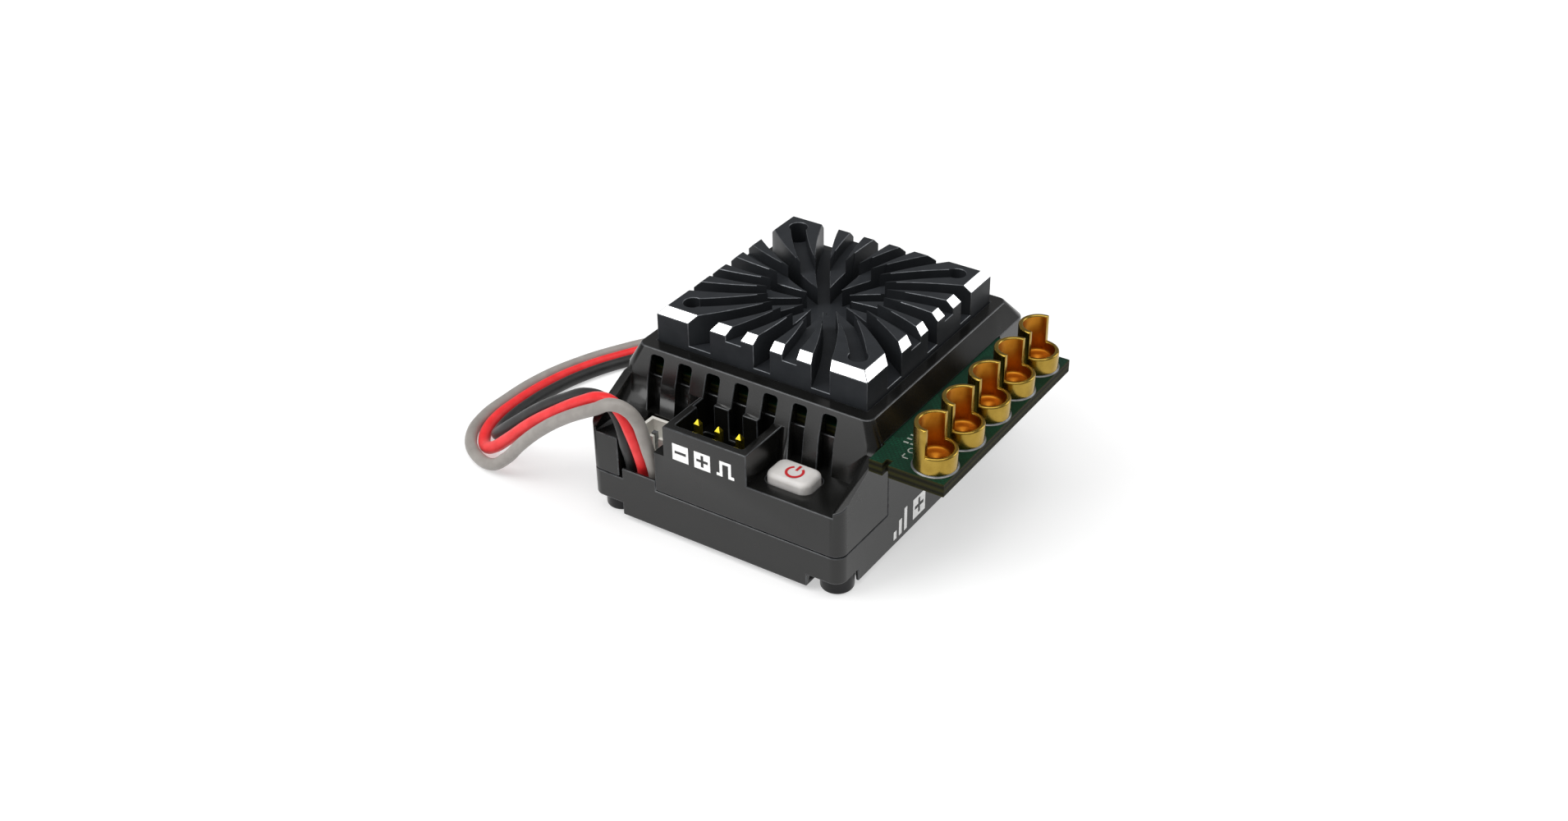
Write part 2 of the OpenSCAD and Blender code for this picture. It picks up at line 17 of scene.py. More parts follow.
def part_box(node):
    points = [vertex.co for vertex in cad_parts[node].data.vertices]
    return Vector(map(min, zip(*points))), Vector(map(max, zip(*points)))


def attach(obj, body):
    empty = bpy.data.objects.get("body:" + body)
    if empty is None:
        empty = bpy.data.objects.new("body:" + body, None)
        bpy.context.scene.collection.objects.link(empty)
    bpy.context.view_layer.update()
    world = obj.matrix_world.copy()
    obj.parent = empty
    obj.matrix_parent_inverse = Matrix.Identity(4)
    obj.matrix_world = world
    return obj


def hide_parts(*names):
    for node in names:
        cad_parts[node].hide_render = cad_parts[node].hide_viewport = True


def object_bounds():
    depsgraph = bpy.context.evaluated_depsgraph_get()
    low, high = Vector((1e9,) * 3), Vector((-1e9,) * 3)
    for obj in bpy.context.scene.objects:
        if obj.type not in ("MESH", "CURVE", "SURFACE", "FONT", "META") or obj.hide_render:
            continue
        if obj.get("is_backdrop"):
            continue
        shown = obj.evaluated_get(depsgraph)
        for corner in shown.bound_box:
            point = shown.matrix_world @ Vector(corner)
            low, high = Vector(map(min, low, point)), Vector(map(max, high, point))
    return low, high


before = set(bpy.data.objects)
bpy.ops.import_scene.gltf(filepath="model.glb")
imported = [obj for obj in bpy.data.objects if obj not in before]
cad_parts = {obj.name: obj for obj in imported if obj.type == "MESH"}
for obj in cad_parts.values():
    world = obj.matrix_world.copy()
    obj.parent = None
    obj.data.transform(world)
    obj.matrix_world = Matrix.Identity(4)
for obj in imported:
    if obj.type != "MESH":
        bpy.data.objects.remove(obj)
cad_low, cad_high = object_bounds()
print("CAD nodes:", len(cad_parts), "box in mm:", [round(1000 * n, 1) for n in cad_high - cad_low])

# %% [markdown]
# ## Units and a working origin
# Blender works in metres, and a speed controller is measured in millimetres. The designer's own origin
# is the middle of the heat sink, at the lower edge of the case, so the script keeps that origin and
# one function turns a place in millimetres into a place in the scene.

# %% A working origin
MM = 0.001
sink_low, sink_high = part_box("heatsink")
case_low, case_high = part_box("lower_case")
ORIGIN = Vector(((sink_low.x + sink_high.x) / 2, (sink_low.y + sink_high.y) / 2, case_low.z))


def at(x, y, z):
    return ORIGIN + Vector((x, y, z)) * MM


def show(thing):
    bpy.context.scene.collection.objects.link(thing)


print("origin in mm:", [round(n / MM, 3) for n in ORIGIN])

# %% [markdown]
# ## Camera
# A product is usually shown from a corner, high enough to see its top. The camera is placed by a
# compass angle and a height angle round a target, which is easier to change than three coordinates.
# The small shift moves the picture without turning the camera.

# %% Camera
AZIMUTH, ELEVATION = radians(32.285), radians(32.331)
DISTANCE = 203.92
TARGET = (0, 0, 7.806)
back = Vector((cos(ELEVATION) * sin(AZIMUTH), -cos(ELEVATION) * cos(AZIMUTH), sin(ELEVATION)))
lens = bpy.data.cameras.new("camera")
lens.lens = 43.28
lens.sensor_width = 36
lens.shift_x = -0.02716
lens.shift_y = -0.01429
camera = bpy.data.objects.new("camera", lens)
camera.location = at(*TARGET) + back * DISTANCE * MM
camera.rotation_euler = (-back).to_track_quat("-Z", "Y").to_euler()
show(camera)
bpy.context.scene.camera = camera
bpy.context.scene.view_settings.view_transform = "Standard"
print("camera at mm:", [round(n / MM, 1) for n in camera.location])

# %% [markdown]
# ## Colour and node helpers
# Colours are written as the hex values a painter would pick on a screen, which are sRGB, and Blender
# mixes light in linear values, so one function converts. A second function adds any node, sets its
# properties, and fills its inputs with values or links. Nothing more is needed to write a material.


# %% Colour and node helpers
def linear(code):
    parts = [int(code[i:i + 2], 16) / 255 for i in (1, 3, 5)]
    return [c / 12.92 if c <= 0.04045 else ((c + 0.055) / 1.055) ** 2.4 for c in parts] + [1]


def add(tree, kind, values=None, **settings):
    made = tree.nodes.new(kind)
    for name, value in settings.items():
        setattr(made, name, value)
    for name, value in (values or {}).items():
        socket = made.inputs[name]
        if isinstance(value, bpy.types.NodeSocket):
            tree.links.new(value, socket)
        else:
            socket.default_value = value
    return made


def per_mm(size):
    # the texture scale at which one feature is this many millimetres across
    return 1 / (size * MM)


def surface(name, **values):
    material = bpy.data.materials.new(name)
    material.use_nodes = True
    shader = material.node_tree.nodes["Principled BSDF"]
    for key, value in values.items():
        shader.inputs[key.replace("_", " ")].default_value = value
    return material, material.node_tree, shader


print("white is", linear("#ffffff"))

# %% [markdown]
# ## What most surfaces share
# A moulded or plated surface is never one flat value. Its gloss drifts from place to place, and it has
# a fine tooth that breaks up a highlight. Both come from noise on the object's own coordinates, so
# they stay put when the piece moves. Most surfaces need no more than that, and one call makes them.


# %% Drift and tooth
CLOUD_LOW, CLOUD_HIGH = 0.3, 0.7    # nearly all of a cloud lies between these


def drift(tree, shader, low, high, size):
    place = add(tree, "ShaderNodeTexCoord").outputs["Object"]
    cloud = add(tree, "ShaderNodeTexNoise", {"Vector": place, "Scale": per_mm(size), "Detail": 3})
    span = add(tree, "ShaderNodeMapRange", {"Value": cloud.outputs["Fac"], "From Min": CLOUD_LOW,
                                            "From Max": CLOUD_HIGH, "To Min": low, "To Max": high})
    tree.links.new(span.outputs["Result"], shader.inputs["Roughness"])
    return place


def relief(tree, shader, pattern, strength, depth):
    bump = add(tree, "ShaderNodeBump", {"Height": pattern, "Strength": strength, "Distance": depth * MM})
    tree.links.new(bump.outputs["Normal"], shader.inputs["Normal"])


def tooth(tree, shader, place, size, depth):
    grain = add(tree, "ShaderNodeTexNoise", {"Vector": place, "Scale": per_mm(size), "Detail": 2})
    relief(tree, shader, grain.outputs["Fac"], 1, depth)


# %% Two tones
def mixed(tree, shader, pattern, first, second):
    mix = add(tree, "ShaderNodeMix", {"Factor": pattern, "A": linear(first), "B": linear(second)},
              data_type="RGBA")
    tree.links.new(mix.outputs["Result"], shader.inputs["Base Color"])


def two_tone(tree, shader, place, first, second, size):
    cloud = add(tree, "ShaderNodeTexNoise", {"Vector": place, "Scale": per_mm(size), "Detail": 4})
    span = add(tree, "ShaderNodeMapRange", {"Value": cloud.outputs["Fac"], "From Min": CLOUD_LOW,
                                            "From Max": CLOUD_HIGH})
    mixed(tree, shader, span.outputs["Result"], first, second)


def plain(name, gloss, gloss_size, tones, tone_size, grain=None, **values):
    # the range of roughness and how far it drifts, two tones and their size, the tooth's size and depth
    material, tree, shader = surface(name, **values)
    place = drift(tree, shader, *gloss, gloss_size)
    two_tone(tree, shader, place, *tones, tone_size)
    if grain:
        tooth(tree, shader, place, *grain)
    return material


# %% [markdown]
# ## Moulded nylon
# The shells are glass-filled nylon, injection moulded in a spark-eroded tool. That leaves a satin black
# with a very fine tooth: the broad faces go soft grey where they catch a light, and stay deep black
# where they don't. The tooth is drawn at 0.12 mm, a little coarser than real, so that it still shows.

# %% Nylon
nylon = plain("nylon_moulded_satin_black", (0.22, 0.28), 4, ("#0d0d0c", "#111110"), 3, (0.12, 0.0006),
              IOR=1.48)

# the bevelled corners take a lighter grey: painted highlight
nylon_painted_highlight = plain("nylon_moulded_handled_edge", (0.2, 0.3), 1, ("#2b2c2e", "#454749"), 0.8, IOR=1.48)

header_nylon = plain("nylon_moulded_header_black", (0.35, 0.5), 2, ("#101011", "#19191b"), 1.5,
                     (0.15, 0.003), IOR=1.5)

ivory_nylon = plain("nylon_moulded_ivory", (0.35, 0.5), 2, ("#e4e2d9", "#efeee6"), 1.5, (0.2, 0.003),
                    IOR=1.52)
print("nylon:", nylon.name, header_nylon.name, ivory_nylon.name)

# %% [markdown]
# ## Anodised and milled aluminium
# The heat sink is milled from a bar, bead blasted and dyed black. Dyed anodising is a thin glassy layer
# over metal, so it is shaded as a dark coat with a broad, weak highlight. The chamfer round the top is cut
# after dyeing, so it shows bare metal with fine cutter lines, drawn at 0.15 mm. The capacitors' cans are
# drawn from sheet, which leaves them plain and bright.

# %% Anodised aluminium
anodised = plain("aluminium_bead_blasted_black_anodised", (0.36, 0.44), 3, ("#27292c", "#2d2f32"), 2,
                 (0.1, 0.0008), IOR=1.5, Specular_IOR_Level=0.1)

# the bevelled edges are a shade lighter and half metallic: painted highlight
anodised_painted_highlight = plain("aluminium_black_anodised_rubbed_edge", (0.3, 0.4), 1, ("#3c3e41", "#63666a"), 0.8,
               Metallic=0.5)
print("anodised:", anodised.name, anodised_painted_highlight.name)

# %% Bare aluminium
milled, tree, shader = surface("aluminium_diamond_milled_bare", Metallic=1.0)
place = drift(tree, shader, 0.22, 0.34, 1.5)
two_tone(tree, shader, place, "#f0f1f2", "#fbfbfb", 2)
lines = add(tree, "ShaderNodeTexWave", {"Vector": place, "Scale": per_mm(0.15) / tau, "Distortion": 1.5},
            bands_direction="DIAGONAL")
relief(tree, shader, lines.outputs["Fac"], 0.3, 0.002)

can_metal = plain("aluminium_drawn_can", (0.25, 0.4), 2, ("#b9bbbe", "#c8cacc"), 3, Metallic=1.0)
print("bare:", milled.name, can_metal.name)

# %% [markdown]
# ## Gold, tin and steel
# The posts are turned brass with a gold flash. Gold reads yellow where it sees a light and deep orange
# where it sees only itself, and the bore's deeper tone is that painted reflection. The turning marks are
# rings
# 0.1 mm apart. Tin and blackened steel are the quieter neighbours.

# %% Gold
gold, tree, shader = surface("brass_turned_gold_flashed", Metallic=1.0)
place = drift(tree, shader, 0.2, 0.28, 1.5)
two_tone(tree, shader, place, "#957a34", "#a88c40", 1.2)
lathe = add(tree, "ShaderNodeTexWave", {"Vector": place, "Scale": per_mm(0.1) / tau, "Distortion": 0.5},
            bands_direction="Z")
relief(tree, shader, lathe.outputs["Fac"], 0.12, 0.001)

# the bore's deeper orange is painted reflection, gold mirroring itself; the drill leaves it duller than the
# outside
bore_gold_painted_reflection = plain("brass_drilled_gold_flashed", (0.32, 0.42), 1.5, ("#a86a1c", "#bd7f28"), 1.2,
                  Metallic=1.0)

pin_gold = plain("phosphor_bronze_drawn_gold_flashed", (0.25, 0.35), 1, ("#e8cf35", "#f4e04a"), 1,
                 Metallic=1.0)
print("gold:", gold.name, bore_gold_painted_reflection.name, pin_gold.name)

# %% Tin and steel
tin = plain("solder_tin_reflowed", (0.4, 0.55), 0.6, ("#77797b", "#9b9da0"), 0.8, (0.3, 0.004),
            Metallic=1.0)

black_steel = plain("steel_headed_black_oxide", (0.3, 0.45), 1, ("#1d1d1e", "#29292a"), 1, (0.15, 0.003),
                    Metallic=0.7)
print("quieter metals:", tin.name, black_steel.name)

# %% [markdown]
# ## Circuit board
# A board is woven glass in epoxy, copper on both sides, and a green lacquer called the solder mask. The
# mask is darker over bare laminate and lighter over copper, so the copper areas show through as soft
# patches with straight edges. The sawn edge shows the laminate itself, in olive-brown layers.

# %% Solder mask
mask, tree, shader = surface("epoxy_solder_mask_green", Roughness=0.42, IOR=1.5, Specular_IOR_Level=0.2)
place = add(tree, "ShaderNodeTexCoord").outputs["Object"]
patches = add(tree, "ShaderNodeTexVoronoi", {"Vector": place, "Scale": per_mm(2.6)}, distance="CHEBYCHEV")
tracks = add(tree, "ShaderNodeTexBrick", {"Vector": place, "Scale": per_mm(1.1), "Mortar Size": 0.06,
                                          "Color1": (1, 1, 1, 1), "Color2": (0.6, 0.6, 0.6, 1),
                                          "Mortar": (0, 0, 0, 1)})
pour = add(tree, "ShaderNodeMath", {0: patches.outputs["Color"], 1: tracks.outputs["Color"]},
           operation="MULTIPLY")
mixed(tree, shader, pour.outputs["Value"], "#07281a", "#104a33")
relief(tree, shader, pour.outputs["Value"], 0.5, 0.01)
print("mask:", mask.name)

# %% The board's edge
laminate, tree, shader = surface("glass_epoxy_routed_edge", Roughness=0.7, IOR=1.5, Specular_IOR_Level=0.15)
place = add(tree, "ShaderNodeTexCoord").outputs["Object"]
plies = add(tree, "ShaderNodeTexWave", {"Vector": place, "Scale": per_mm(0.36) / tau, "Distortion": 2,
                                        "Detail Scale": per_mm(1.5)}, bands_direction="Z")
mixed(tree, shader, plies.outputs["Fac"], "#0e0e05", "#2b2a0c")
relief(tree, shader, plies.outputs["Fac"], 0.6, 0.02)
print("edge:", laminate.name)

# %% [markdown]
# ## Chips and thermal pad
# A chip is moulded in black epoxy full of silica, so it is dark, dull and slightly grainy. The pad that
# carries the heat to the heat sink is a grey-blue silicone, filled with ceramic powder and quite matt.

# %% Chips and pad
chip_epoxy = plain("epoxy_moulded_chip_black", (0.45, 0.6), 1, ("#18181a", "#222224"), 0.8, (0.08, 0.004),
                   IOR=1.5)

pad_silicone = plain("silicone_filled_thermal_pad", (0.6, 0.8), 2, ("#7f8a95", "#98a2ab"), 1, (0.3, 0.01),
                     IOR=1.45)
print("fillings:", chip_epoxy.name, pad_silicone.name)

# %% [markdown]
# ## Button, print and wire
# The button is soft white silicone, cast in a polished mould and lightly dusted, so light sinks in a
# little before it comes out. The marks are pad-printed ink, thin and a touch uneven. The wires have a
# limp silicone jacket, matt and slightly dusty, with faint lines along the pull of the die.

# %% Button rubber
white_rubber = plain("silicone_cast_soft_white", (0.38, 0.5), 1.5, ("#c9c6c3", "#d5d2cf"), 1.5,
                     (0.1, 0.002), IOR=1.45, Subsurface_Weight=0.15, Subsurface_Scale=0.4 * MM,
                     Subsurface_Radius=(1, 0.9, 0.8))
print("button:", white_rubber.name)


# %% Inks
def ink(name, *tones):
    return plain(name, (0.45, 0.6), 0.5, tones, 0.4, IOR=1.5)


white_ink = ink("ink_pad_printed_white", "#f2f2f0", "#ffffff")
grey_ink = ink("ink_screen_printed_grey", "#7d837c", "#a7ada5")
red_ink = ink("ink_pad_printed_red", "#b3161b", "#c8232a")
print("inks:", white_ink.name, grey_ink.name, red_ink.name)


# %% Wire jackets
def jacket(name, *tones):
    return plain(name, (0.38, 0.52), 2, tones, 1.5, (0.25, 0.004), IOR=1.41, Sheen_Weight=0.15,
                 Sheen_Roughness=0.4)


jackets = {"black": jacket("silicone_extruded_jacket_black", "#1c1c1c", "#262626"),
           "red": jacket("silicone_extruded_jacket_red", "#e01f22", "#f23236"),
           "grey": jacket("silicone_extruded_jacket_grey", "#8a8580", "#9a9590")}
print("jackets:", [m.name for m in jackets.values()])

# %% [markdown]
# ## The receiver lead
# Three thin wires run side by side out of the slot in the front, fold over the case's edge, come down to
# the table and go round behind the case. What is left over is wound into a two-layer coil there, as it
# would be for storage. Each wire is one spline with a round section, so it keeps its own length, and the
# coil's turns are worked out by a loop: the first turn lies on the table, and the second climbs onto it.

# %% The lead's routes
WIRE = 1.38
PITCH = 1.41
COIL_AT = (-12.5, 27.2)
COIL_R = 7.8
COIL_LOW, COIL_HIGH = 0.24, 1.65
ON_TABLE = 0.04
STEPS_PER_TURN = 24
PLUG_X, PLUG_Y, PLUG_Z = -2.4, 20.7, 0.65
PIN_PITCH = 2.54

# a knot with no height of its own lies on the table
routes = {
    "black": [
        (-10.97, -20.3, 4.6), (-10.97, -20.3, 5.4), (-10.97, -20.65, 7), (-10.97, -21.15, 8.6),
        (-11.05, -21.4, 10.3), (-12, -21, 11.7), (-13.6, -20.5, 12.5), (-16.2, -20.2, 12.4),
        (-19.6, -20.1, 10.6), (-23.3, -20, 8.1), (-26.8, -19.9, 5.2), (-29.3, -19.6, 3),
        (-31.2, -18.6, 1.2), (-32.6, -16.8, 0.2), (-33.3, -14.3), (-33.5, -11.5),
        (-33.1, -6.6), (-31.9, -1.9), (-29.7, 2.8), (-26.8, 7.4),
        (-23.3, 11.6), (-19.4, 15), (-16, 17.2)],
    "red": [
        (-9.52, -20.3, 4.6), (-9.52, -20.3, 5.4), (-9.52, -20.65, 7), (-9.55, -21.15, 8.7),
        (-9.8, -21.7, 10.8), (-10.6, -21.8, 12.6), (-12.1, -21.6, 13.6), (-13.9, -21.5, 13.4),
        (-16, -21.5, 12.3), (-20.2, -21.4, 9.4), (-23.8, -21.3, 6.6), (-27.2, -21.3, 3.5),
        (-29.7, -21, 1.4), (-31.9, -20, 0.2), (-33.7, -17.9), (-34.7, -15),
        (-34.9, -11.4), (-34.5, -6.3), (-33.2, -1.4), (-30.9, 3.5),
        (-27.9, 8.2), (-24.3, 12.5), (-20.2, 16.1), (-16.4, 18.5)],
    "grey": [
        (-8.08, -20.3, 4.6), (-8.08, -20.3, 5.4), (-8.08, -20.65, 7), (-8.12, -21.2, 8.9),
        (-8.25, -21.7, 11), (-8.6, -22, 12.6), (-9.5, -22.4, 13.9), (-11, -22.8, 14.3),
        (-13.2, -22.9, 13.1), (-17.4, -22.8, 10.5), (-21, -22.7, 7.7), (-24.2, -22.6, 4.6),
        (-26.5, -22.6, 2), (-28.7, -22.6, 0.4), (-31.8, -21.7), (-34.6, -19.3),
        (-36.1, -15.5), (-36.3, -11.3), (-35.9, -6), (-34.5, -0.9),
        (-32.1, 4.2), (-29, 9), (-25.3, 13.4), (-21, 17.2),
        (-16.8, 19.8)]}
rows = {"black": 1, "red": 0, "grey": -1}
print("knots in each route:", {colour: len(route) for colour, route in routes.items()})


# %% The coil's turns
CLIMB_FROM, CLIMB_OVER = 0.6, 0.25


def coil_turns(row):
    # two turns from the south point; the wire climbs to the upper layer before it meets itself
    radius = COIL_R + row * PITCH
    points = []
    for i in range(2 * STEPS_PER_TURN + 1):
        turn = i / STEPS_PER_TURN
        climb = min(max((turn - CLIMB_FROM) / CLIMB_OVER, 0), 1)
        lift = climb * climb * (3 - 2 * climb)
        angle = tau * turn - pi / 2
        points.append((COIL_AT[0] + radius * cos(angle), COIL_AT[1] + radius * sin(angle),
                       COIL_LOW + (COIL_HIGH - COIL_LOW) * lift))
    return points


def coil_tail(row):
    y = COIL_AT[1] - COIL_R - row * PITCH
    end_y = PLUG_Y - row * PIN_PITCH
    return [(COIL_AT[0] + 2.4, y, 1.5), (COIL_AT[0] + 5, (y + end_y) / 2, 1),
            (PLUG_X - 1.5, end_y, PLUG_Z), (PLUG_X + 0.6, end_y, PLUG_Z)]


print("coil across, mm:", 2 * COIL_R)

# %% [markdown]
# ### From points to wires
# A Bezier spline with automatic handles passes smoothly through every point. Its length is measured while
# it is still a bare line, and only then does it get its round section.


# %% The three wires
def length_of(curve_object):
    mesh = curve_object.to_mesh()
    total = sum((mesh.vertices[e.vertices[0]].co - mesh.vertices[e.vertices[1]].co).length
                for e in mesh.edges)
    curve_object.to_mesh_clear()
    return total


wires = {}
for colour, route in routes.items():
    points = [(*knot, ON_TABLE)[:3] for knot in route]
    points += coil_turns(rows[colour]) + coil_tail(rows[colour])
    curve = bpy.data.curves.new("wire_" + colour, "CURVE")
    curve.dimensions = "3D"
    curve.resolution_u = 6
    spline = curve.splines.new("BEZIER")
    spline.bezier_points.add(len(points) - 1)
    for knot, point in zip(spline.bezier_points, points):
        knot.co = at(*point)
        knot.handle_left_type = knot.handle_right_type = "AUTO"
    wire = bpy.data.objects.new("wire_" + colour, curve)
    show(wire)
    bpy.context.view_layer.update()
    length = length_of(wire)
    curve.bevel_depth = WIRE / 2 * MM
    curve.bevel_resolution = 5
    curve.use_fill_caps = True
    curve.materials.append(jackets[colour])
    wires[colour] = (wire, length, at(*points[0]))
    print("wire", colour, round(length / MM, 1), "mm")

# %% [markdown]
# ## From CAD mesh to finished piece
# A CAD mesh arrives as loose triangles with knife-sharp edges. A real moulding or casting never has
# those: every corner has a small radius, and the thin bright line on it is what makes the object look
# solid. So a copy of the mesh is merged, its flat faces are joined again, and the sharp edges are
# bevelled. A bevel can throw a corner far away, or fold a big flat face over itself. Such a corner is put
# back, and the bevel is tried again without the few edges that made a face fold.


# %% Merge the CAD triangles
def merged(node):
    work = bmesh.new()
    work.from_mesh(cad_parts[node].data)
    bmesh.ops.remove_doubles(work, verts=work.verts, dist=0.002 * MM)
    bmesh.ops.dissolve_limit(work, angle_limit=radians(0.5), verts=work.verts, edges=work.edges)
    bmesh.ops.dissolve_degenerate(work, dist=0.02 * MM, edges=work.edges)
    return work


# %% Bevel, and look for folds
SMALLEST_FOLD = 0.01 * MM * MM
FAR, BACK, SPARE = 3.5, 1.5, 2      # in bevel widths


def folded(work):
    # a bevel can make a big flat face overlap itself; the corners where it turns over are returned
    spots = []
    for loops in work.calc_loop_triangles():
        a, b, c = (loop.vert.co for loop in loops)
        turned = (b - a).cross(c - a)
        if turned.dot(loops[0].face.normal) < -SMALLEST_FOLD:
            spots += [a.copy(), b.copy(), c.copy()]
    return spots


def bevelled(work, width, segments, sharper_than, material, spared):
    corners = KDTree(len(work.verts))
    for i, vertex in enumerate(work.verts):
        corners.insert(vertex.co, i)
    corners.balance()
    near = SPARE * width * MM
    edges = [e for e in work.edges if e.is_convex and e.calc_face_angle(0) > radians(sharper_than)
             and not any((v.co - spot).length < near for v in e.verts for spot in spared)]
    bmesh.ops.bevel(work, geom=edges, offset=width * MM, segments=segments, profile=0.5, affect="EDGES",
                    material=material)
    for vertex in work.verts:
        home, _, distance = corners.find(vertex.co)
        if distance > FAR * width * MM:
            vertex.co = home + (vertex.co - home) * BACK * width * MM / distance
    work.normal_update()
    return work


TRIES = 6


def soften(work, width, segments=2, sharper_than=25, material=-1):
    spared = folded(work)
    for attempt in range(TRIES):
        done = bevelled(work.copy(), width, segments, sharper_than, material, spared)
        more = folded(done)
        print("  bevel", attempt, "folded corners", len(more))
        if not more:
            break
        spared += more
    work.free()
    return done


# %% [markdown]
# ### Shading
# The shading is weighted by area. The big faces set it at their corners, so they stay flat, and only the
# bevels look round.


# %% Make a piece
def weigh_normals(made):
    weighted = made.modifiers.new("weighted", "WEIGHTED_NORMAL")
    weighted.keep_sharp = True
    weighted.weight = 100
    depsgraph = bpy.context.evaluated_depsgraph_get()
    rough = made.data
    finished = bpy.data.meshes.new_from_object(made.evaluated_get(depsgraph))
    made.modifiers.remove(weighted)
    made.data = finished
    bpy.data.meshes.remove(rough)
    finished.name = made.name


def piece(name, work, materials, body="case", node=None, smooth=40):
    mesh = bpy.data.meshes.new(name)
    work.normal_update()
    work.to_mesh(mesh)
    work.free()
    for material in materials:
        mesh.materials.append(material)
    mesh.shade_smooth()
    mesh.set_sharp_from_angle(angle=radians(smooth))
    made = bpy.data.objects.new(name, mesh)
    show(made)
    weigh_normals(made)
    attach(made, body)
    if node:
        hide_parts(node)
    print(name, len(made.data.polygons), "faces")
    return made


# %% [markdown]
# ## The case
# Upper and lower shell meet at a fine groove. Their edges are broken by about a tenth of a millimetre,
# which is what a spark-eroded tool gives.

# %% The two shells
# the bevel faces take the second material, a lighter grey that is painted highlight
for name, node in (("upper_shell", "upper_case"), ("lower_shell", "lower_case")):
    piece(name, soften(merged(node), 0.12, material=1), [nylon, nylon_painted_highlight], node=node)

# %% [markdown]
# ## The heat sink
# Its shape follows a rule: twelve deep channels turned about the centre, a shallow groove between each
# two, a chamfer round the top, and four screw holes. Geometry Nodes suit that. One curved cutter is
# drawn from a grid, twelve copies of it are turned round the centre, and a boolean cuts them out of the
# block. The sizes are inputs of the tree, so the same tree makes a taller or a finer heat sink.


# %% A tree with named inputs
def new_tree(name, inputs):
    tree = bpy.data.node_groups.new(name, "GeometryNodeTree")
    tree.is_modifier = True
    ids = {}
    for label, kind in inputs.items():
        ids[label] = tree.interface.new_socket(label, in_out="INPUT", socket_type=kind).identifier
    tree.interface.new_socket("Geometry", in_out="OUTPUT", socket_type="NodeSocketGeometry")
    return tree, tree.nodes.new("NodeGroupInput").outputs, tree.nodes.new("NodeGroupOutput").inputs, ids


def run_tree(name, tree, ids, values):
    # a modifier on an empty mesh runs the tree, and its result is kept as a plain mesh
    holder = bpy.data.objects.new(name + "_tree", bpy.data.meshes.new(name + "_tree"))
    show(holder)
    modifier = holder.modifiers.new("nodes", "NODES")
    modifier.node_group = tree
    for label, value in values.items():
        modifier[ids[label]] = value
    depsgraph = bpy.context.evaluated_depsgraph_get()
    mesh = bpy.data.meshes.new_from_object(holder.evaluated_get(depsgraph))
    bpy.data.objects.remove(holder)
    work = bmesh.new()
    work.from_mesh(mesh)
    # the primitives bring an empty material slot of their own, which is left out
    materials = [m for m in mesh.materials if m]
    for face in work.faces:
        face.material_index = materials.index(mesh.materials[face.material_index])
    return work, materials


def calc(tree, how, *values):
    return add(tree, "ShaderNodeMath", dict(enumerate(values)), operation=how).outputs[0]


def xyz(tree, x=0, y=0, z=0):
    return add(tree, "ShaderNodeCombineXYZ", {0: x, 1: y, 2: z}).outputs[0]


def vector(tree, how, first, second):
    made = add(tree, "ShaderNodeVectorMath", {0: first, "Scale" if how == "SCALE" else 1: second},
               operation=how)
    return made.outputs[0]


def geo(tree, kind, values=None):
    return add(tree, "GeometryNode" + kind, values).outputs[0]


# %% The heat sink's tree
FLOAT, MATERIAL = "NodeSocketFloat", "NodeSocketMaterial"
FINS = 12
THROUGH = 22 * MM       # past the block's corners
OVER = 3 * MM           # how far the cutters stand out of the block's top
sink_tree, given, result, sink_ids = new_tree("radial_heat_sink", {
    "Side": FLOAT, "Bottom": FLOAT, "Top": FLOAT, "Chamfer": FLOAT, "Turn": FLOAT, "Bow": FLOAT,
    "Bow Centre": FLOAT, "Bow Radius": FLOAT, "Channel Width": FLOAT, "Channel Flare": FLOAT,
    "Channel Floor": FLOAT, "Groove Width": FLOAT, "Groove Floor": FLOAT, "Hole Pitch": FLOAT,
    "Hole Radius": FLOAT, "Hole Floor": FLOAT, "Coat": MATERIAL, "Bare Metal": MATERIAL})
tree = sink_tree
print("inputs of the heat sink's tree:", len(sink_ids))


# %% One curved cutter
def curved_cutter(width, flare, floor, length):
    grid = geo(tree, "MeshGrid", {"Size X": length, "Size Y": 1, "Vertices X": 28, "Vertices Y": 2})
    spot = add(tree, "ShaderNodeSeparateXYZ", {0: geo(tree, "InputPosition")})
    along = calc(tree, "ADD", spot.outputs[0], calc(tree, "MULTIPLY", length, 0.5))
    wide = calc(tree, "MULTIPLY_ADD", along, flare, width)
    off = calc(tree, "SUBTRACT", along, given["Bow Centre"])
    sag = calc(tree, "DIVIDE", calc(tree, "MULTIPLY", off, off), given["Bow Radius"])
    middle = calc(tree, "SUBTRACT", given["Bow"], calc(tree, "MULTIPLY", sag, 0.5))
    across = calc(tree, "MULTIPLY_ADD", spot.outputs[1], wide, middle)
    base = geo(tree, "SetPosition", {"Geometry": grid, "Position": xyz(tree, along, across, floor)})
    rise = calc(tree, "SUBTRACT", calc(tree, "ADD", given["Top"], OVER), floor)
    raised = geo(tree, "ExtrudeMesh", {"Mesh": base, "Offset": xyz(tree, z=rise), "Individual": False})
    both = add(tree, "GeometryNodeJoinGeometry")
    tree.links.new(raised, both.inputs[0])
    tree.links.new(geo(tree, "FlipFaces", {"Mesh": base}), both.inputs[0])
    return geo(tree, "MergeByDistance", {"Geometry": both.outputs[0], "Distance": 0.001 * MM})


# %% Twelve turned copies of it
def turned_copies(cutter, start, selection=None):
    index = geo(tree, "InputIndex")
    angle = calc(tree, "ADD", calc(tree, "MULTIPLY_ADD", index, tau / FINS, start), given["Turn"])
    chosen = {"Selection": selection(index)} if selection else {}
    return geo(tree, "InstanceOnPoints", {"Points": geo(tree, "Points", {"Count": FINS}), "Instance": cutter,
                                          "Rotation": xyz(tree, z=angle), **chosen})


def towards_hole(index):
    # of every three grooves, the middle one runs to a screw hole
    return calc(tree, "COMPARE", calc(tree, "MODULO", index, 3), 1, 0.1)


def past_hole(index):
    return calc(tree, "SUBTRACT", 1, towards_hole(index))


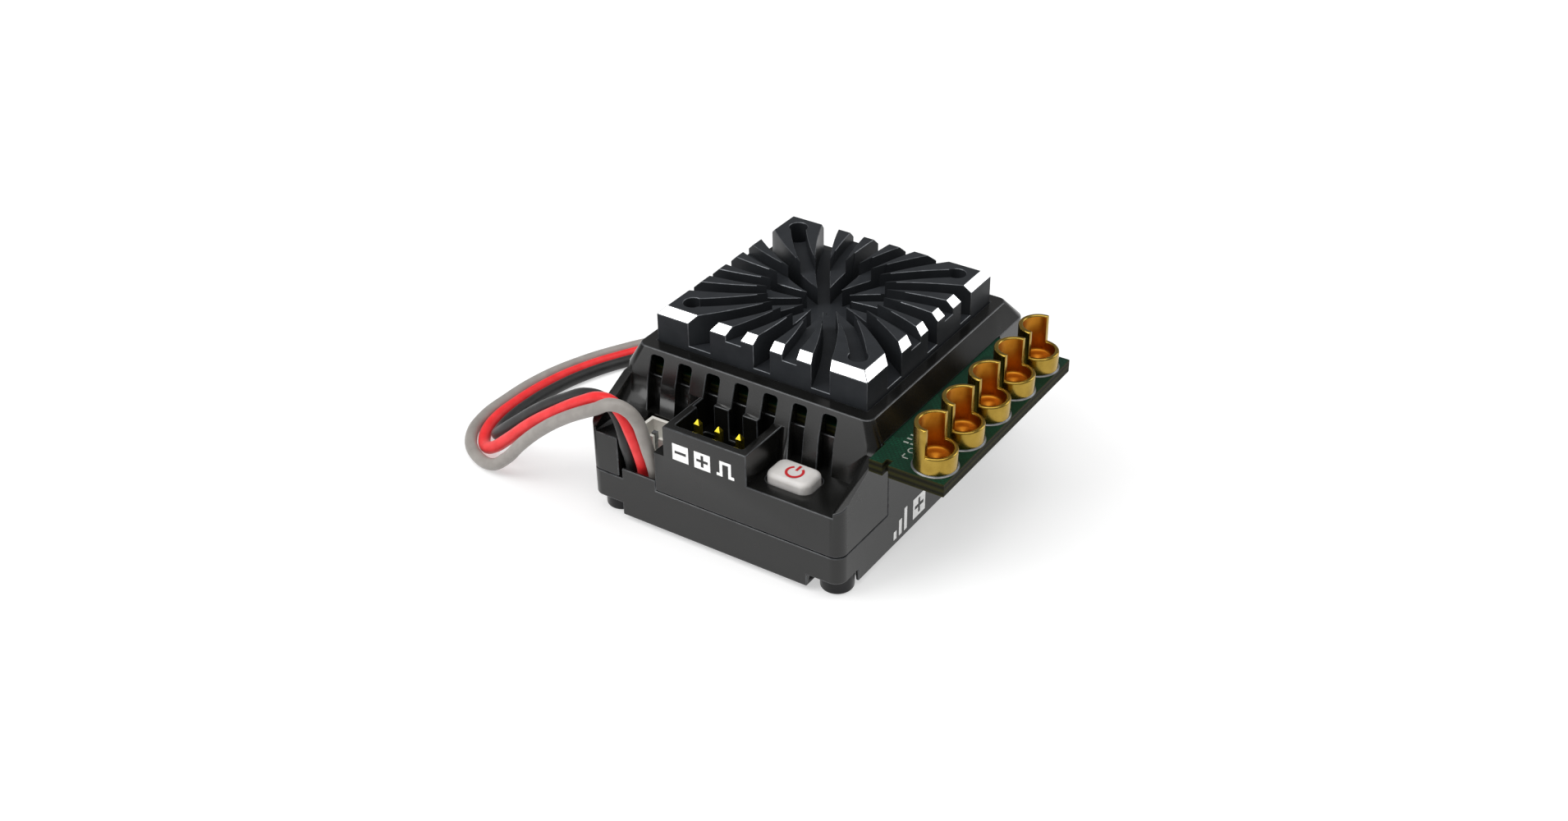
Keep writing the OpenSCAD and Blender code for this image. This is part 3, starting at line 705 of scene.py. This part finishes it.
def groove_cutter(length):
    return curved_cutter(given["Groove Width"], 0, given["Groove Floor"], length)


hole_reach = calc(tree, "MULTIPLY", given["Hole Pitch"], sqrt(0.5))
channels = turned_copies(curved_cutter(given["Channel Width"], given["Channel Flare"],
                                       given["Channel Floor"], THROUGH), 0)
grooves = turned_copies(groove_cutter(THROUGH), tau / FINS / 2, past_hole)
short_grooves = turned_copies(groove_cutter(hole_reach), tau / FINS / 2, towards_hole)
print("cutters:", 2 * FINS)

# %% [markdown]
# ### The block and its chamfer
# A cube with one extra belt of points makes the chamfered block: the belt moves up to where the chamfer
# starts, and the top ring shrinks. Normals then tell the chamfer from the rest, so it can stay bare.

# %% Block
height = calc(tree, "SUBTRACT", given["Top"], given["Bottom"])
half = calc(tree, "MULTIPLY", height, 0.5)
cube = geo(tree, "MeshCube", {"Size": xyz(tree, given["Side"], given["Side"], height), "Vertices Z": 3})
spot = geo(tree, "InputPosition")
level = add(tree, "ShaderNodeSeparateXYZ", {0: spot}).outputs[2]
belt = calc(tree, "SUBTRACT", half, given["Chamfer"])
block = geo(tree, "SetPosition", {"Geometry": cube, "Offset": xyz(tree, z=belt),
                                  "Selection": calc(tree, "COMPARE", level, 0, 0.1 * MM)})
shrink = calc(tree, "DIVIDE", calc(tree, "MULTIPLY_ADD", given["Chamfer"], -2, given["Side"]), given["Side"])
drawn_in = vector(tree, "MULTIPLY", spot, xyz(tree, shrink, shrink, 1))
block = geo(tree, "SetPosition", {"Geometry": block, "Position": drawn_in,
                                  "Selection": calc(tree, "COMPARE", level, half, 0.1 * MM)})
lift = calc(tree, "MULTIPLY", calc(tree, "ADD", given["Top"], given["Bottom"]), 0.5)
block = geo(tree, "Transform", {"Geometry": block, "Translation": xyz(tree, z=lift)})
print("nodes for the block and its cutters:", len(tree.nodes))

# %% Screw holes
corners = geo(tree, "MeshGrid", {"Size X": given["Hole Pitch"], "Size Y": given["Hole Pitch"],
                                 "Vertices X": 2, "Vertices Y": 2})
depth = calc(tree, "SUBTRACT", calc(tree, "ADD", given["Top"], OVER), given["Hole Floor"])
lift = calc(tree, "MULTIPLY_ADD", depth, 0.5, given["Hole Floor"])
drill = geo(tree, "MeshCylinder", {"Vertices": 40, "Radius": given["Hole Radius"], "Depth": depth})
drills = geo(tree, "InstanceOnPoints", {"Points": corners, "Instance": drill})
drills = geo(tree, "Transform", {"Geometry": drills, "Translation": xyz(tree, z=lift)})
print("the holes go down to their own floor")

# %% The cut and the two finishes
cut = add(tree, "GeometryNodeMeshBoolean", {"Mesh 1": block, "Self Intersection": True},
          operation="DIFFERENCE", solver="EXACT")
for tool in (channels, grooves, short_grooves, drills):
    tree.links.new(geo(tree, "RealizeInstances", {"Geometry": tool}), cut.inputs["Mesh 2"])
slope = add(tree, "ShaderNodeSeparateXYZ", {0: geo(tree, "InputNormal")}).outputs[2]
whole = geo(tree, "RealizeInstances", {"Geometry": cut.outputs[0]})
coated = geo(tree, "SetMaterial", {"Geometry": whole, "Material": given["Coat"]})
bare = geo(tree, "SetMaterial", {"Geometry": coated, "Material": given["Bare Metal"],
                                 "Selection": calc(tree, "COMPARE", slope, sqrt(0.5), 0.15)})
tree.links.new(bare, result["Geometry"])
print("nodes in the tree:", len(tree.nodes))

# %% Run it with this heat sink's sizes
sink_side = sink_high.x - sink_low.x
floor_z = ORIGIN.z
work, materials = run_tree("swirl_heat_sink", sink_tree, sink_ids, {
    "Side": sink_side, "Bottom": sink_low.z - floor_z, "Top": sink_high.z - floor_z,
    "Chamfer": 0.84 * MM, "Turn": radians(1.4), "Bow": 0.5 * MM, "Bow Centre": 6.25 * MM,
    "Bow Radius": 39.3 * MM, "Channel Width": 1.2 * MM, "Channel Flare": 2 * sin(radians(1.7)),
    "Channel Floor": 16.75 * MM, "Groove Width": 1.7 * MM, "Groove Floor": 18.8 * MM,
    "Hole Pitch": 20 * MM, "Hole Radius": 1.03 * MM, "Hole Floor": 15.99 * MM,
    "Coat": anodised, "Bare Metal": milled})
bmesh.ops.translate(work, verts=work.verts, vec=ORIGIN)
bmesh.ops.remove_doubles(work, verts=work.verts, dist=0.003 * MM)
bmesh.ops.dissolve_degenerate(work, dist=0.02 * MM, edges=work.edges)
# the bevel faces take the last material, a lighter edge that is painted highlight
materials.append(anodised_painted_highlight)
work = soften(work, 0.06, segments=1, material=len(materials) - 1)
heat_sink = piece("swirl_heat_sink", work, materials, node="heatsink",
                  smooth=30)
print("heat sink materials:", [m.name for m in heat_sink.data.materials])

# %% [markdown]
# ## Solder posts
# Each post is a cup turned from brass, with one side of its wall cut low so that a wire can be laid in
# and soldered. The drill leaves a shallow cone in the cup's floor. The rims are rounded, and that bright
# line round them is half of the look of gold.

# %% A cup, turned and cut
def welded(work):
    bmesh.ops.remove_doubles(work, verts=work.verts, dist=0.002 * MM)
    bmesh.ops.dissolve_degenerate(work, dist=0.002 * MM, edges=work.edges)
    bmesh.ops.recalc_face_normals(work, faces=work.faces)
    return work


POST_R, CUP_R = 2.2, 1.68
POST_TALL, POST_LOW = 5.05, 2.05
RIM = 0.2
board_low, board_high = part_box("power_board")
board_thick = (board_high.z - board_low.z) / MM
print("board thickness, mm:", round(board_thick, 2))


def cup_outline(top):
    # from the spigot's tip, out over the foot, up to a rounded rim, and down to a dimple in the floor
    quarter = [pi / 2 * k / 4 for k in range(5)]
    rim = [(POST_R - RIM + RIM * cos(a), top - RIM + RIM * sin(a)) for a in quarter]
    rim += [(CUP_R + RIM - RIM * sin(a), top - RIM + RIM * cos(a)) for a in quarter]
    floor = [(CUP_R, 1.25), (CUP_R - 0.1, 1.05), (CUP_R - 0.3, 0.95), (1.0, 0.92), (0.7, 0.84), (0.35, 0.66),
             (0, 0.58)]
    return [(0, -board_thick), (0.9, -board_thick), (0.9, 0), (POST_R, 0), (POST_R, 0.1)] + rim + floor


def post(foot, half_turn=36):
    # the near half of the wall is low and the far half tall, so there are two rings at each cut
    work = bmesh.new()
    rings = []
    for top, start in ((POST_LOW, -pi / 2), (POST_TALL, pi / 2)):
        for k in range(half_turn + 1):
            angle = start + pi * k / half_turn
            rings.append([work.verts.new(foot + Vector((r * cos(angle), r * sin(angle), z)) * MM)
                          for r, z in cup_outline(top)])
    for ring, turned in zip(rings, rings[1:] + rings[:1]):
        for i in range(len(ring) - 1):
            work.faces.new((ring[i], turned[i], turned[i + 1], ring[i + 1]))
    return welded(work)


# %% The five posts
POSTS, POST_PITCH = 5, 5.36
post_low, post_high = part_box("solder_post_1")
first_post = Vector(((post_low.x + post_high.x) / 2, (post_low.y + post_high.y) / 2, board_high.z))
for number in range(POSTS):
    node = "solder_post_%d" % (number + 1)
    foot = first_post + Vector((0, number * POST_PITCH * MM, 0))
    work = soften(post(foot), 0.05, sharper_than=70)
    # faces inside the cup take the deeper gold, which is painted reflection
    for face in work.faces:
        spoke = face.calc_center_median() - foot
        if spoke.z > 0 and spoke.xy.length < (CUP_R + 0.02) * MM:
            face.material_index = 1
    piece("gold_post_%d" % (number + 1), work, [gold, bore_gold_painted_reflection], node=node)

# %% [markdown]
# ## Circuit boards
# The power board carries the posts on a tab outside the case, so its lacquer and its sawn edge both
# show. Its upper and lower faces take the mask, and every other face takes the laminate.

# %% The power board
work = soften(merged("power_board"), 0.04, segments=1)
for face in work.faces:
    face.material_index = 0 if abs(face.normal.z) > 0.9 else 1
piece("power_board_panel", work, [mask, laminate], node="power_board")

# %% [markdown]
# ## Solder fillets and screws
# Solder climbs a hot post and cools as a small concave ring round its foot. The fillet is one profile
# spun about the post, and Geometry Nodes set a copy at each post. The case screws are made the same way:
# one screw with a hexagonal socket, four places.


# %% Copies on a grid
def grid_of_copies(name):
    tree, given, result, ids = new_tree(name, {
        "Profile": "NodeSocketObject", "Count": "NodeSocketInt", "First": "NodeSocketVector",
        "Step": "NodeSocketVector", "Row Step": "NodeSocketVector", "Row Length": "NodeSocketInt",
        "Material": MATERIAL})
    shape = add(tree, "GeometryNodeObjectInfo", {"Object": given["Profile"]}).outputs["Geometry"]
    index = geo(tree, "InputIndex")
    column = calc(tree, "MODULO", index, given["Row Length"])
    line = calc(tree, "FLOOR", calc(tree, "DIVIDE", index, given["Row Length"]))
    across = vector(tree, "SCALE", given["Step"], column)
    down = vector(tree, "SCALE", given["Row Step"], line)
    spot = vector(tree, "ADD", vector(tree, "ADD", across, down), given["First"])
    points = geo(tree, "Points", {"Count": given["Count"], "Position": spot})
    copies = geo(tree, "InstanceOnPoints", {"Points": points, "Instance": shape})
    whole = geo(tree, "RealizeInstances", {"Geometry": copies})
    done = geo(tree, "SetMaterial", {"Geometry": whole, "Material": given["Material"]})
    tree.links.new(done, result["Geometry"])
    return tree, ids


grid_tree, grid_ids = grid_of_copies("copies_on_a_grid")
print("inputs of the grid's tree:", list(grid_ids))


# %% A spun profile
def spin(outline_at, sides):
    # a closed outline of (radius, height) pairs, which may differ with the angle, turned once
    work = bmesh.new()
    rings = []
    for k in range(sides):
        angle = tau * k / sides
        rings.append([work.verts.new(Vector((r * cos(angle), r * sin(angle), z)) * MM)
                      for r, z in outline_at(angle)])
    count = len(rings[0])
    for k in range(sides):
        for i in range(count):
            j = (i + 1) % count
            a, b = rings[k], rings[(k + 1) % sides]
            work.faces.new((a[i], a[j], b[j], b[i]))
    return welded(work)


# %% One shape, many places
def copies(name, work, material, count, first, step, row_step=(0, 0, 0), row_length=None):
    mesh = bpy.data.meshes.new(name + "_one")
    work.to_mesh(mesh)
    work.free()
    one = bpy.data.objects.new(name + "_one", mesh)
    show(one)
    done, materials = run_tree(name, grid_tree, grid_ids, {
        "Profile": one, "Count": count, "First": first, "Step": [n * MM for n in step],
        "Row Step": [n * MM for n in row_step], "Row Length": row_length or count, "Material": material})
    bpy.data.objects.remove(one)
    return done, materials


# %% Solder fillets
FILLET, FOOT_LIFT, TUCK = 0.16, 0.02, 0.1


def fillet_outline(angle):
    rise = [(POST_R + FILLET * (1 - sin(a)), FOOT_LIFT + FILLET * (1 - cos(a)))
            for a in [pi / 2 * k / 6 for k in range(7)]]
    return [(POST_R - TUCK, 0), (POST_R + FILLET, 0)] + rise + [(POST_R - TUCK, FOOT_LIFT + FILLET)]


work, materials = copies("solder_fillets", spin(fillet_outline, 56), tin, POSTS, first_post,
                         (0, POST_PITCH, 0))
piece("solder_fillets", work, materials)

# %% Case screws
HEAD_R, HEAD_T, HEAD_ROUND = 1.75, 2.1, 0.3
SHANK_R, SOCKET_R, SOCKET_T = 0.8, 0.75, 1.1
SCREWS, SCREWS_IN_ROW = 4, 2
screw_low, screw_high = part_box("case_screws")
SCREW_T = (screw_high.z - screw_low.z) / MM


def screw_outline(angle):
    # the drive socket is a hexagon, so its radius changes with the angle
    flat = SOCKET_R * cos(pi / 6) / cos(angle % (pi / 3) - pi / 6)
    corner = [(HEAD_R - HEAD_ROUND * (1 - sin(a)), HEAD_ROUND * (1 - cos(a)))
              for a in [pi / 2 * k / 5 for k in range(6)]]
    return [(0, SOCKET_T + 0.2), (0.3, SOCKET_T), (flat, SOCKET_T), (flat, 0.1), (flat + 0.1, 0)] + corner + [
        (HEAD_R, HEAD_T), (SHANK_R, HEAD_T), (SHANK_R, SCREW_T - 0.5), (SHANK_R - 0.4, SCREW_T), (0, SCREW_T)]


first_screw = Vector((screw_low.x + HEAD_R * MM, screw_low.y + HEAD_R * MM, screw_low.z))
across = (screw_high.x - screw_low.x) / MM - 2 * HEAD_R
along = (screw_high.y - screw_low.y) / MM - 2 * HEAD_R
work, materials = copies("screw_heads", spin(screw_outline, 48), black_steel, SCREWS, first_screw,
                         (across, 0, 0), (0, along, 0), SCREWS_IN_ROW)
piece("screw_heads", work, materials, node="case_screws")
print("screws stand", round(across, 2), "by", round(along, 2), "mm apart")

# %% [markdown]
# ## The button
# A soft cap with rounded shoulders and a slightly crowned top. It is lofted: rings of one rounded
# rectangle at rising heights, each a little smaller than the last, closed by a crowned centre. Below the
# deck it has a flange, which keeps it from falling out.

# %% The button cap
BUTTON_W, BUTTON_D, BUTTON_R = 5.1, 3.4, 1.0
FLANGE, FLANGE_T = 0.4, 0.35
CROWN, SHOULDER = 0.1, 0.55
button_low, button_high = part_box("power_button")
button_mid = (button_low + button_high) / 2


def rounded_ring(work, inset, z, corner, steps=8):
    half_x, half_y = BUTTON_W / 2 - inset, BUTTON_D / 2 - inset
    radius = max(corner - inset, 0.15)
    ring = []
    for k, (sx, sy) in enumerate(((1, 1), (-1, 1), (-1, -1), (1, -1))):
        for i in range(steps + 1):
            angle = pi / 2 * (k + i / steps)
            x = sx * (half_x - radius) + radius * cos(angle)
            y = sy * (half_y - radius) + radius * sin(angle)
            ring.append(work.verts.new(Vector((button_mid.x, button_mid.y, z)) + Vector((x, y, 0)) * MM))
    return ring


work = bmesh.new()
top_z = button_high.z - CROWN * MM
flange_z = button_low.z + FLANGE_T * MM
levels = [(-FLANGE, button_low.z), (-FLANGE, flange_z), (0, flange_z), (0, top_z - SHOULDER * MM)]
levels += [(SHOULDER * (1 - cos(a)), top_z - SHOULDER * MM * (1 - sin(a)))
           for a in [pi / 2 * k / 7 for k in range(1, 8)]]
levels += [(0.9, top_z + 0.5 * CROWN * MM), (1.3, top_z + 0.85 * CROWN * MM)]
rings = [rounded_ring(work, inset, z, BUTTON_R) for inset, z in levels]
for lower, upper in zip(rings, rings[1:]):
    for i in range(len(lower)):
        j = (i + 1) % len(lower)
        work.faces.new((lower[i], lower[j], upper[j], upper[i]))
work.faces.new(list(reversed(rings[0])))
cap = work.faces.new(rings[-1])
bmesh.ops.poke(work, faces=[cap], offset=0.1 * CROWN * MM)
piece("button_cap", work, [white_rubber], body="button", node="power_button")

# %% [markdown]
# ## Printed marks
# Ink is a few hundredths of a millimetre thick, so each mark is a real, very thin plate. Signs are put
# together from bars and arcs on the face they are printed on. A face is given by one corner and the two
# directions that run across it and up it.

# %% Bars and arcs of ink
INK = 0.02
RIGHT, BACKWARD, UP = Vector((1, 0, 0)), Vector((0, 1, 0)), Vector((0, 0, 1))


def plate(work, outline, face):
    corner, right, up = face
    out = right.cross(up)
    bottom, top = ([work.verts.new(corner + (right * x + up * y + out * height) * MM) for x, y in outline]
                   for height in (-INK / 2, INK))
    work.faces.new(top)
    work.faces.new(list(reversed(bottom)))
    for i in range(len(outline)):
        j = (i + 1) % len(outline)
        work.faces.new((bottom[i], bottom[j], top[j], top[i]))


def bar(work, face, x0, y0, x1, y1):
    plate(work, [(x0, y0), (x1, y0), (x1, y1), (x0, y1)], face)


def arc(work, face, middle, inner, outer, start, end, steps):
    for i in range(steps):
        a, b = (radians(start + (end - start) * k / steps) for k in (i, i + 1))
        plate(work, [(middle[0] + r * cos(t), middle[1] + r * sin(t))
                     for r, t in ((inner, a), (outer, a), (outer, b), (inner, b))], face)


print("ink thickness, mm:", INK)


# %% Plus and minus in a box
def boxed_sign(work, face, x, y, side, sign):
    # a filled square with the sign left out of it, built from the bars around the sign
    arm, thick = side * 0.36, side * 0.085
    cx, cy = x + side / 2, y + side / 2
    bar(work, face, x, y, x + side, cy - (arm if sign == "plus" else thick))
    bar(work, face, x, cy + (arm if sign == "plus" else thick), x + side, y + side)
    if sign == "minus":
        bar(work, face, x, cy - thick, cx - arm, cy + thick)
        bar(work, face, cx + arm, cy - thick, x + side, cy + thick)
        return
    for low, high in ((cy - arm, cy - thick), (cy + thick, cy + arm)):
        bar(work, face, x, low, cx - thick, high)
        bar(work, face, cx + thick, low, x + side, high)
    bar(work, face, x, cy - thick, cx - arm, cy + thick)
    bar(work, face, cx + arm, cy - thick, x + side, cy + thick)


# %% Marks on the case
front_face = (Vector((ORIGIN.x, case_low.y, ORIGIN.z)), RIGHT, UP)
SIGN, SIGN_Z = 1.95, 9.54
work = bmesh.new()
boxed_sign(work, front_face, -4.5, SIGN_Z, SIGN, "minus")
boxed_sign(work, front_face, -1.83, SIGN_Z, SIGN, "plus")

# a square pulse stands for the signal pin: foot, rise, top, fall, foot
STROKE, PULSE_LOW, PULSE_HIGH = 0.34, 9.62, 11.44
for x0, y0, x1, y1 in ((0.9, PULSE_LOW, 1.6, PULSE_LOW + STROKE), (1.26, PULSE_LOW + STROKE, 1.6, PULSE_HIGH),
                       (1.6, PULSE_HIGH - STROKE, 2.3, PULSE_HIGH), (2.3, PULSE_LOW, 2.64, PULSE_HIGH),
                       (2.64, PULSE_LOW, 3, PULSE_LOW + STROKE)):
    bar(work, front_face, x0, y0, x1, y1)

# three rising bars stand for the motor's phases
side_face = (Vector((case_high.x, ORIGIN.y, ORIGIN.z)), BACKWARD, UP)
PHASES, PHASE_STEP, PHASE_W, PHASE_RISE = 3, 1.05, 0.55, 0.9
for k in range(PHASES):
    left = -11.5 + PHASE_STEP * k
    bar(work, side_face, left, 0.7, left + PHASE_W, 1.7 + PHASE_RISE * k)
boxed_sign(work, side_face, -7.6, 0.9, 2.5, "plus")
piece("case_print", work, [white_ink])
print("front face y, mm:", round(case_low.y / MM, 2), "right wall x, mm:", round(case_high.x / MM, 2))

# %% [markdown]
# ### The board's legend and the power sign
# A board's legend marks where each part goes. Here it is only small rings, angles and dashes by each post.
# The power sign is an open ring with a stroke through the gap, and it rides on the button.

# %% The board's legend
board_face = (Vector((ORIGIN.x, ORIGIN.y, board_high.z)), RIGHT, BACKWARD)
work = bmesh.new()
post_x = (first_post.x - ORIGIN.x) / MM
post_y = (first_post.y - ORIGIN.y) / MM
for number in range(POSTS):
    y = post_y + number * POST_PITCH
    left = post_x - 3.5
    arc(work, board_face, (post_x - 3.1, y + 0.9), 0.32, 0.45, 20, 340, 16)
    bar(work, board_face, left, y - 0.6, left + 0.75, y - 0.45)
    bar(work, board_face, left, y - 0.6, left + 0.15, y + 0.1)
DASH_W, DASH_H, DASH_STEP, DASH_ROW = 0.55, 0.22, 0.75, 0.7
for row in range(3):
    for column in range(2):
        x, y = post_x - 4.6 + DASH_STEP * column, post_y + 1.75 + DASH_ROW * row
        bar(work, board_face, x, y, x + DASH_W, y + DASH_H)
piece("board_legend", work, [grey_ink])

# %% The power sign on the button
SUNK = 0.015
RING_IN, RING_OUT, GAP_HALF = 0.72, 1.0, 35
SIGN_X, SIGN_Y, STROKE_HALF = 0.2, -0.2, 0.14
top_face = (Vector((button_mid.x, button_mid.y, button_high.z - SUNK * MM)), RIGHT, BACKWARD)
work = bmesh.new()
arc(work, top_face, (SIGN_X, SIGN_Y), RING_IN, RING_OUT, 90 + GAP_HALF, 450 - GAP_HALF, 36)
bar(work, top_face, SIGN_X - STROKE_HALF, SIGN_Y + 0.25, SIGN_X + STROKE_HALF, SIGN_Y + 1.15)
piece("power_sign", work, [red_ink], body="button")

# %% [markdown]
# ## Small parts that keep their CAD shape
# Pins, chips and cans already have the right shape, so they only take a material. The fan socket, and the
# tie and the plug on the lead, get softened edges as well, in the same way as the case.

# %% Fan socket, tie and plug
piece("fan_socket_shell", soften(merged("fan_socket"), 0.03, segments=1), [ivory_nylon], node="fan_socket")
tie = piece("tie_band", soften(merged("coil_tie"), 0.06), [header_nylon], node="coil_tie")
plug = piece("servo_plug_shell", soften(merged("servo_plug"), 0.15), [header_nylon], node="servo_plug")

# %% Materials for the pieces that stay
finishes = {
    pad_silicone: ["thermal_pad"], can_metal: ["bulk_capacitors", "crystal", "switch_cover"],
    mask: ["control_board"], tin: ["fan_socket_pins"], white_rubber: ["switch_plunger"],
    chip_epoxy: ["power_transistors", "microcontroller", "gate_drivers", "voltage_regulator", "choke"],
    header_nylon: ["link_header_base", "receiver_header_base", "switch_body"],
    pin_gold: ["receiver_pins", "link_header_pins", "plug_contacts"]}
for material, names in finishes.items():
    for name in names:
        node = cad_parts[name]
        if not node.material_slots:
            node.data.materials.append(material)
        for slot in node.material_slots:
            slot.material = material
print("finished in place:", sum(len(names) for names in finishes.values()))

for colour, (wire, length, start) in wires.items():
    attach(wire, "case")
    nodes = ["lead_" + colour] + (["lead_coil"] if colour == "red" else [])
    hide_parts(*nodes)
print("cords:", list(wires))

# %% [markdown]
# ## Studio
# Black objects are lit by what they reflect. The floor is a frosted light table, which fills the walls
# with soft grey and keeps the shadow faint. One large soft light hangs overhead, and two more stand just
# where the heat sink's two bright chamfers mirror them into the camera. A low one grazes the front. The
# world is a dark grey, so that the top faces stay dark too.

# %% Floor
FLOOR_HALF = 3
work = bmesh.new()
bmesh.ops.create_grid(work, x_segments=2, y_segments=2, size=FLOOR_HALF,
                      matrix=Matrix.Translation((0, 0, cad_low.z)))
mesh = bpy.data.meshes.new("floor")
work.to_mesh(mesh)
work.free()
floor = bpy.data.objects.new("floor", mesh)
show(floor)
table = plain("acrylic_light_table_frosted", (0.85, 0.95), 40, ("#c4c4c4", "#cacaca"), 60, IOR=1.3,
              Emission_Color=linear("#ffffff"), Emission_Strength=0.49)
mesh.materials.append(table)
floor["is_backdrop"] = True
print("floor at", round(cad_low.z / MM, 3), "mm")

# %% Lights
# name, direction from the object, distance and side in metres, power in watts
for name, direction, distance, side, power in (
        ("light_overhead", (0.1, -0.1, 1), 0.9, 0.9, 5),
        ("light_front", (-0.45, -0.53, 0.71), 0.6, 0.35, 1.6),
        ("light_low", (-0.45, -0.89, 0.12), 0.6, 0.3, 0.5),
        ("light_right", (0.535, 0.714, 0.451), 0.6, 0.3, 0.8)):
    light = bpy.data.lights.new(name, "AREA")
    light.shape = "SQUARE"
    light.size = side
    light.energy = power
    lamp = bpy.data.objects.new(name, light)
    towards = Vector(direction).normalized()
    lamp.location = at(*TARGET) + towards * distance
    lamp.rotation_euler = towards.to_track_quat("Z", "Y").to_euler()
    show(lamp)

# %% World
WORLD_STRENGTH = 0.3
world = bpy.data.worlds.new("studio")
world.use_nodes = True
sky = world.node_tree.nodes["Background"].inputs
sky["Color"].default_value = linear("#ffffff")
sky["Strength"].default_value = WORLD_STRENGTH
bpy.context.scene.world = world
print("world:", WORLD_STRENGTH)

# %% [markdown]
# ## Check the size and finish
# The finished model's box is set against the CAD model's box, and how far it has grown on each side is
# printed. The finished model has to stay in the box of the CAD model.

# %% Sizes and finish
low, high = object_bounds()
grown = [round(n / MM, 3) for n in list(cad_low - low) + list(high - cad_high)]
print("grown by, mm:", grown)
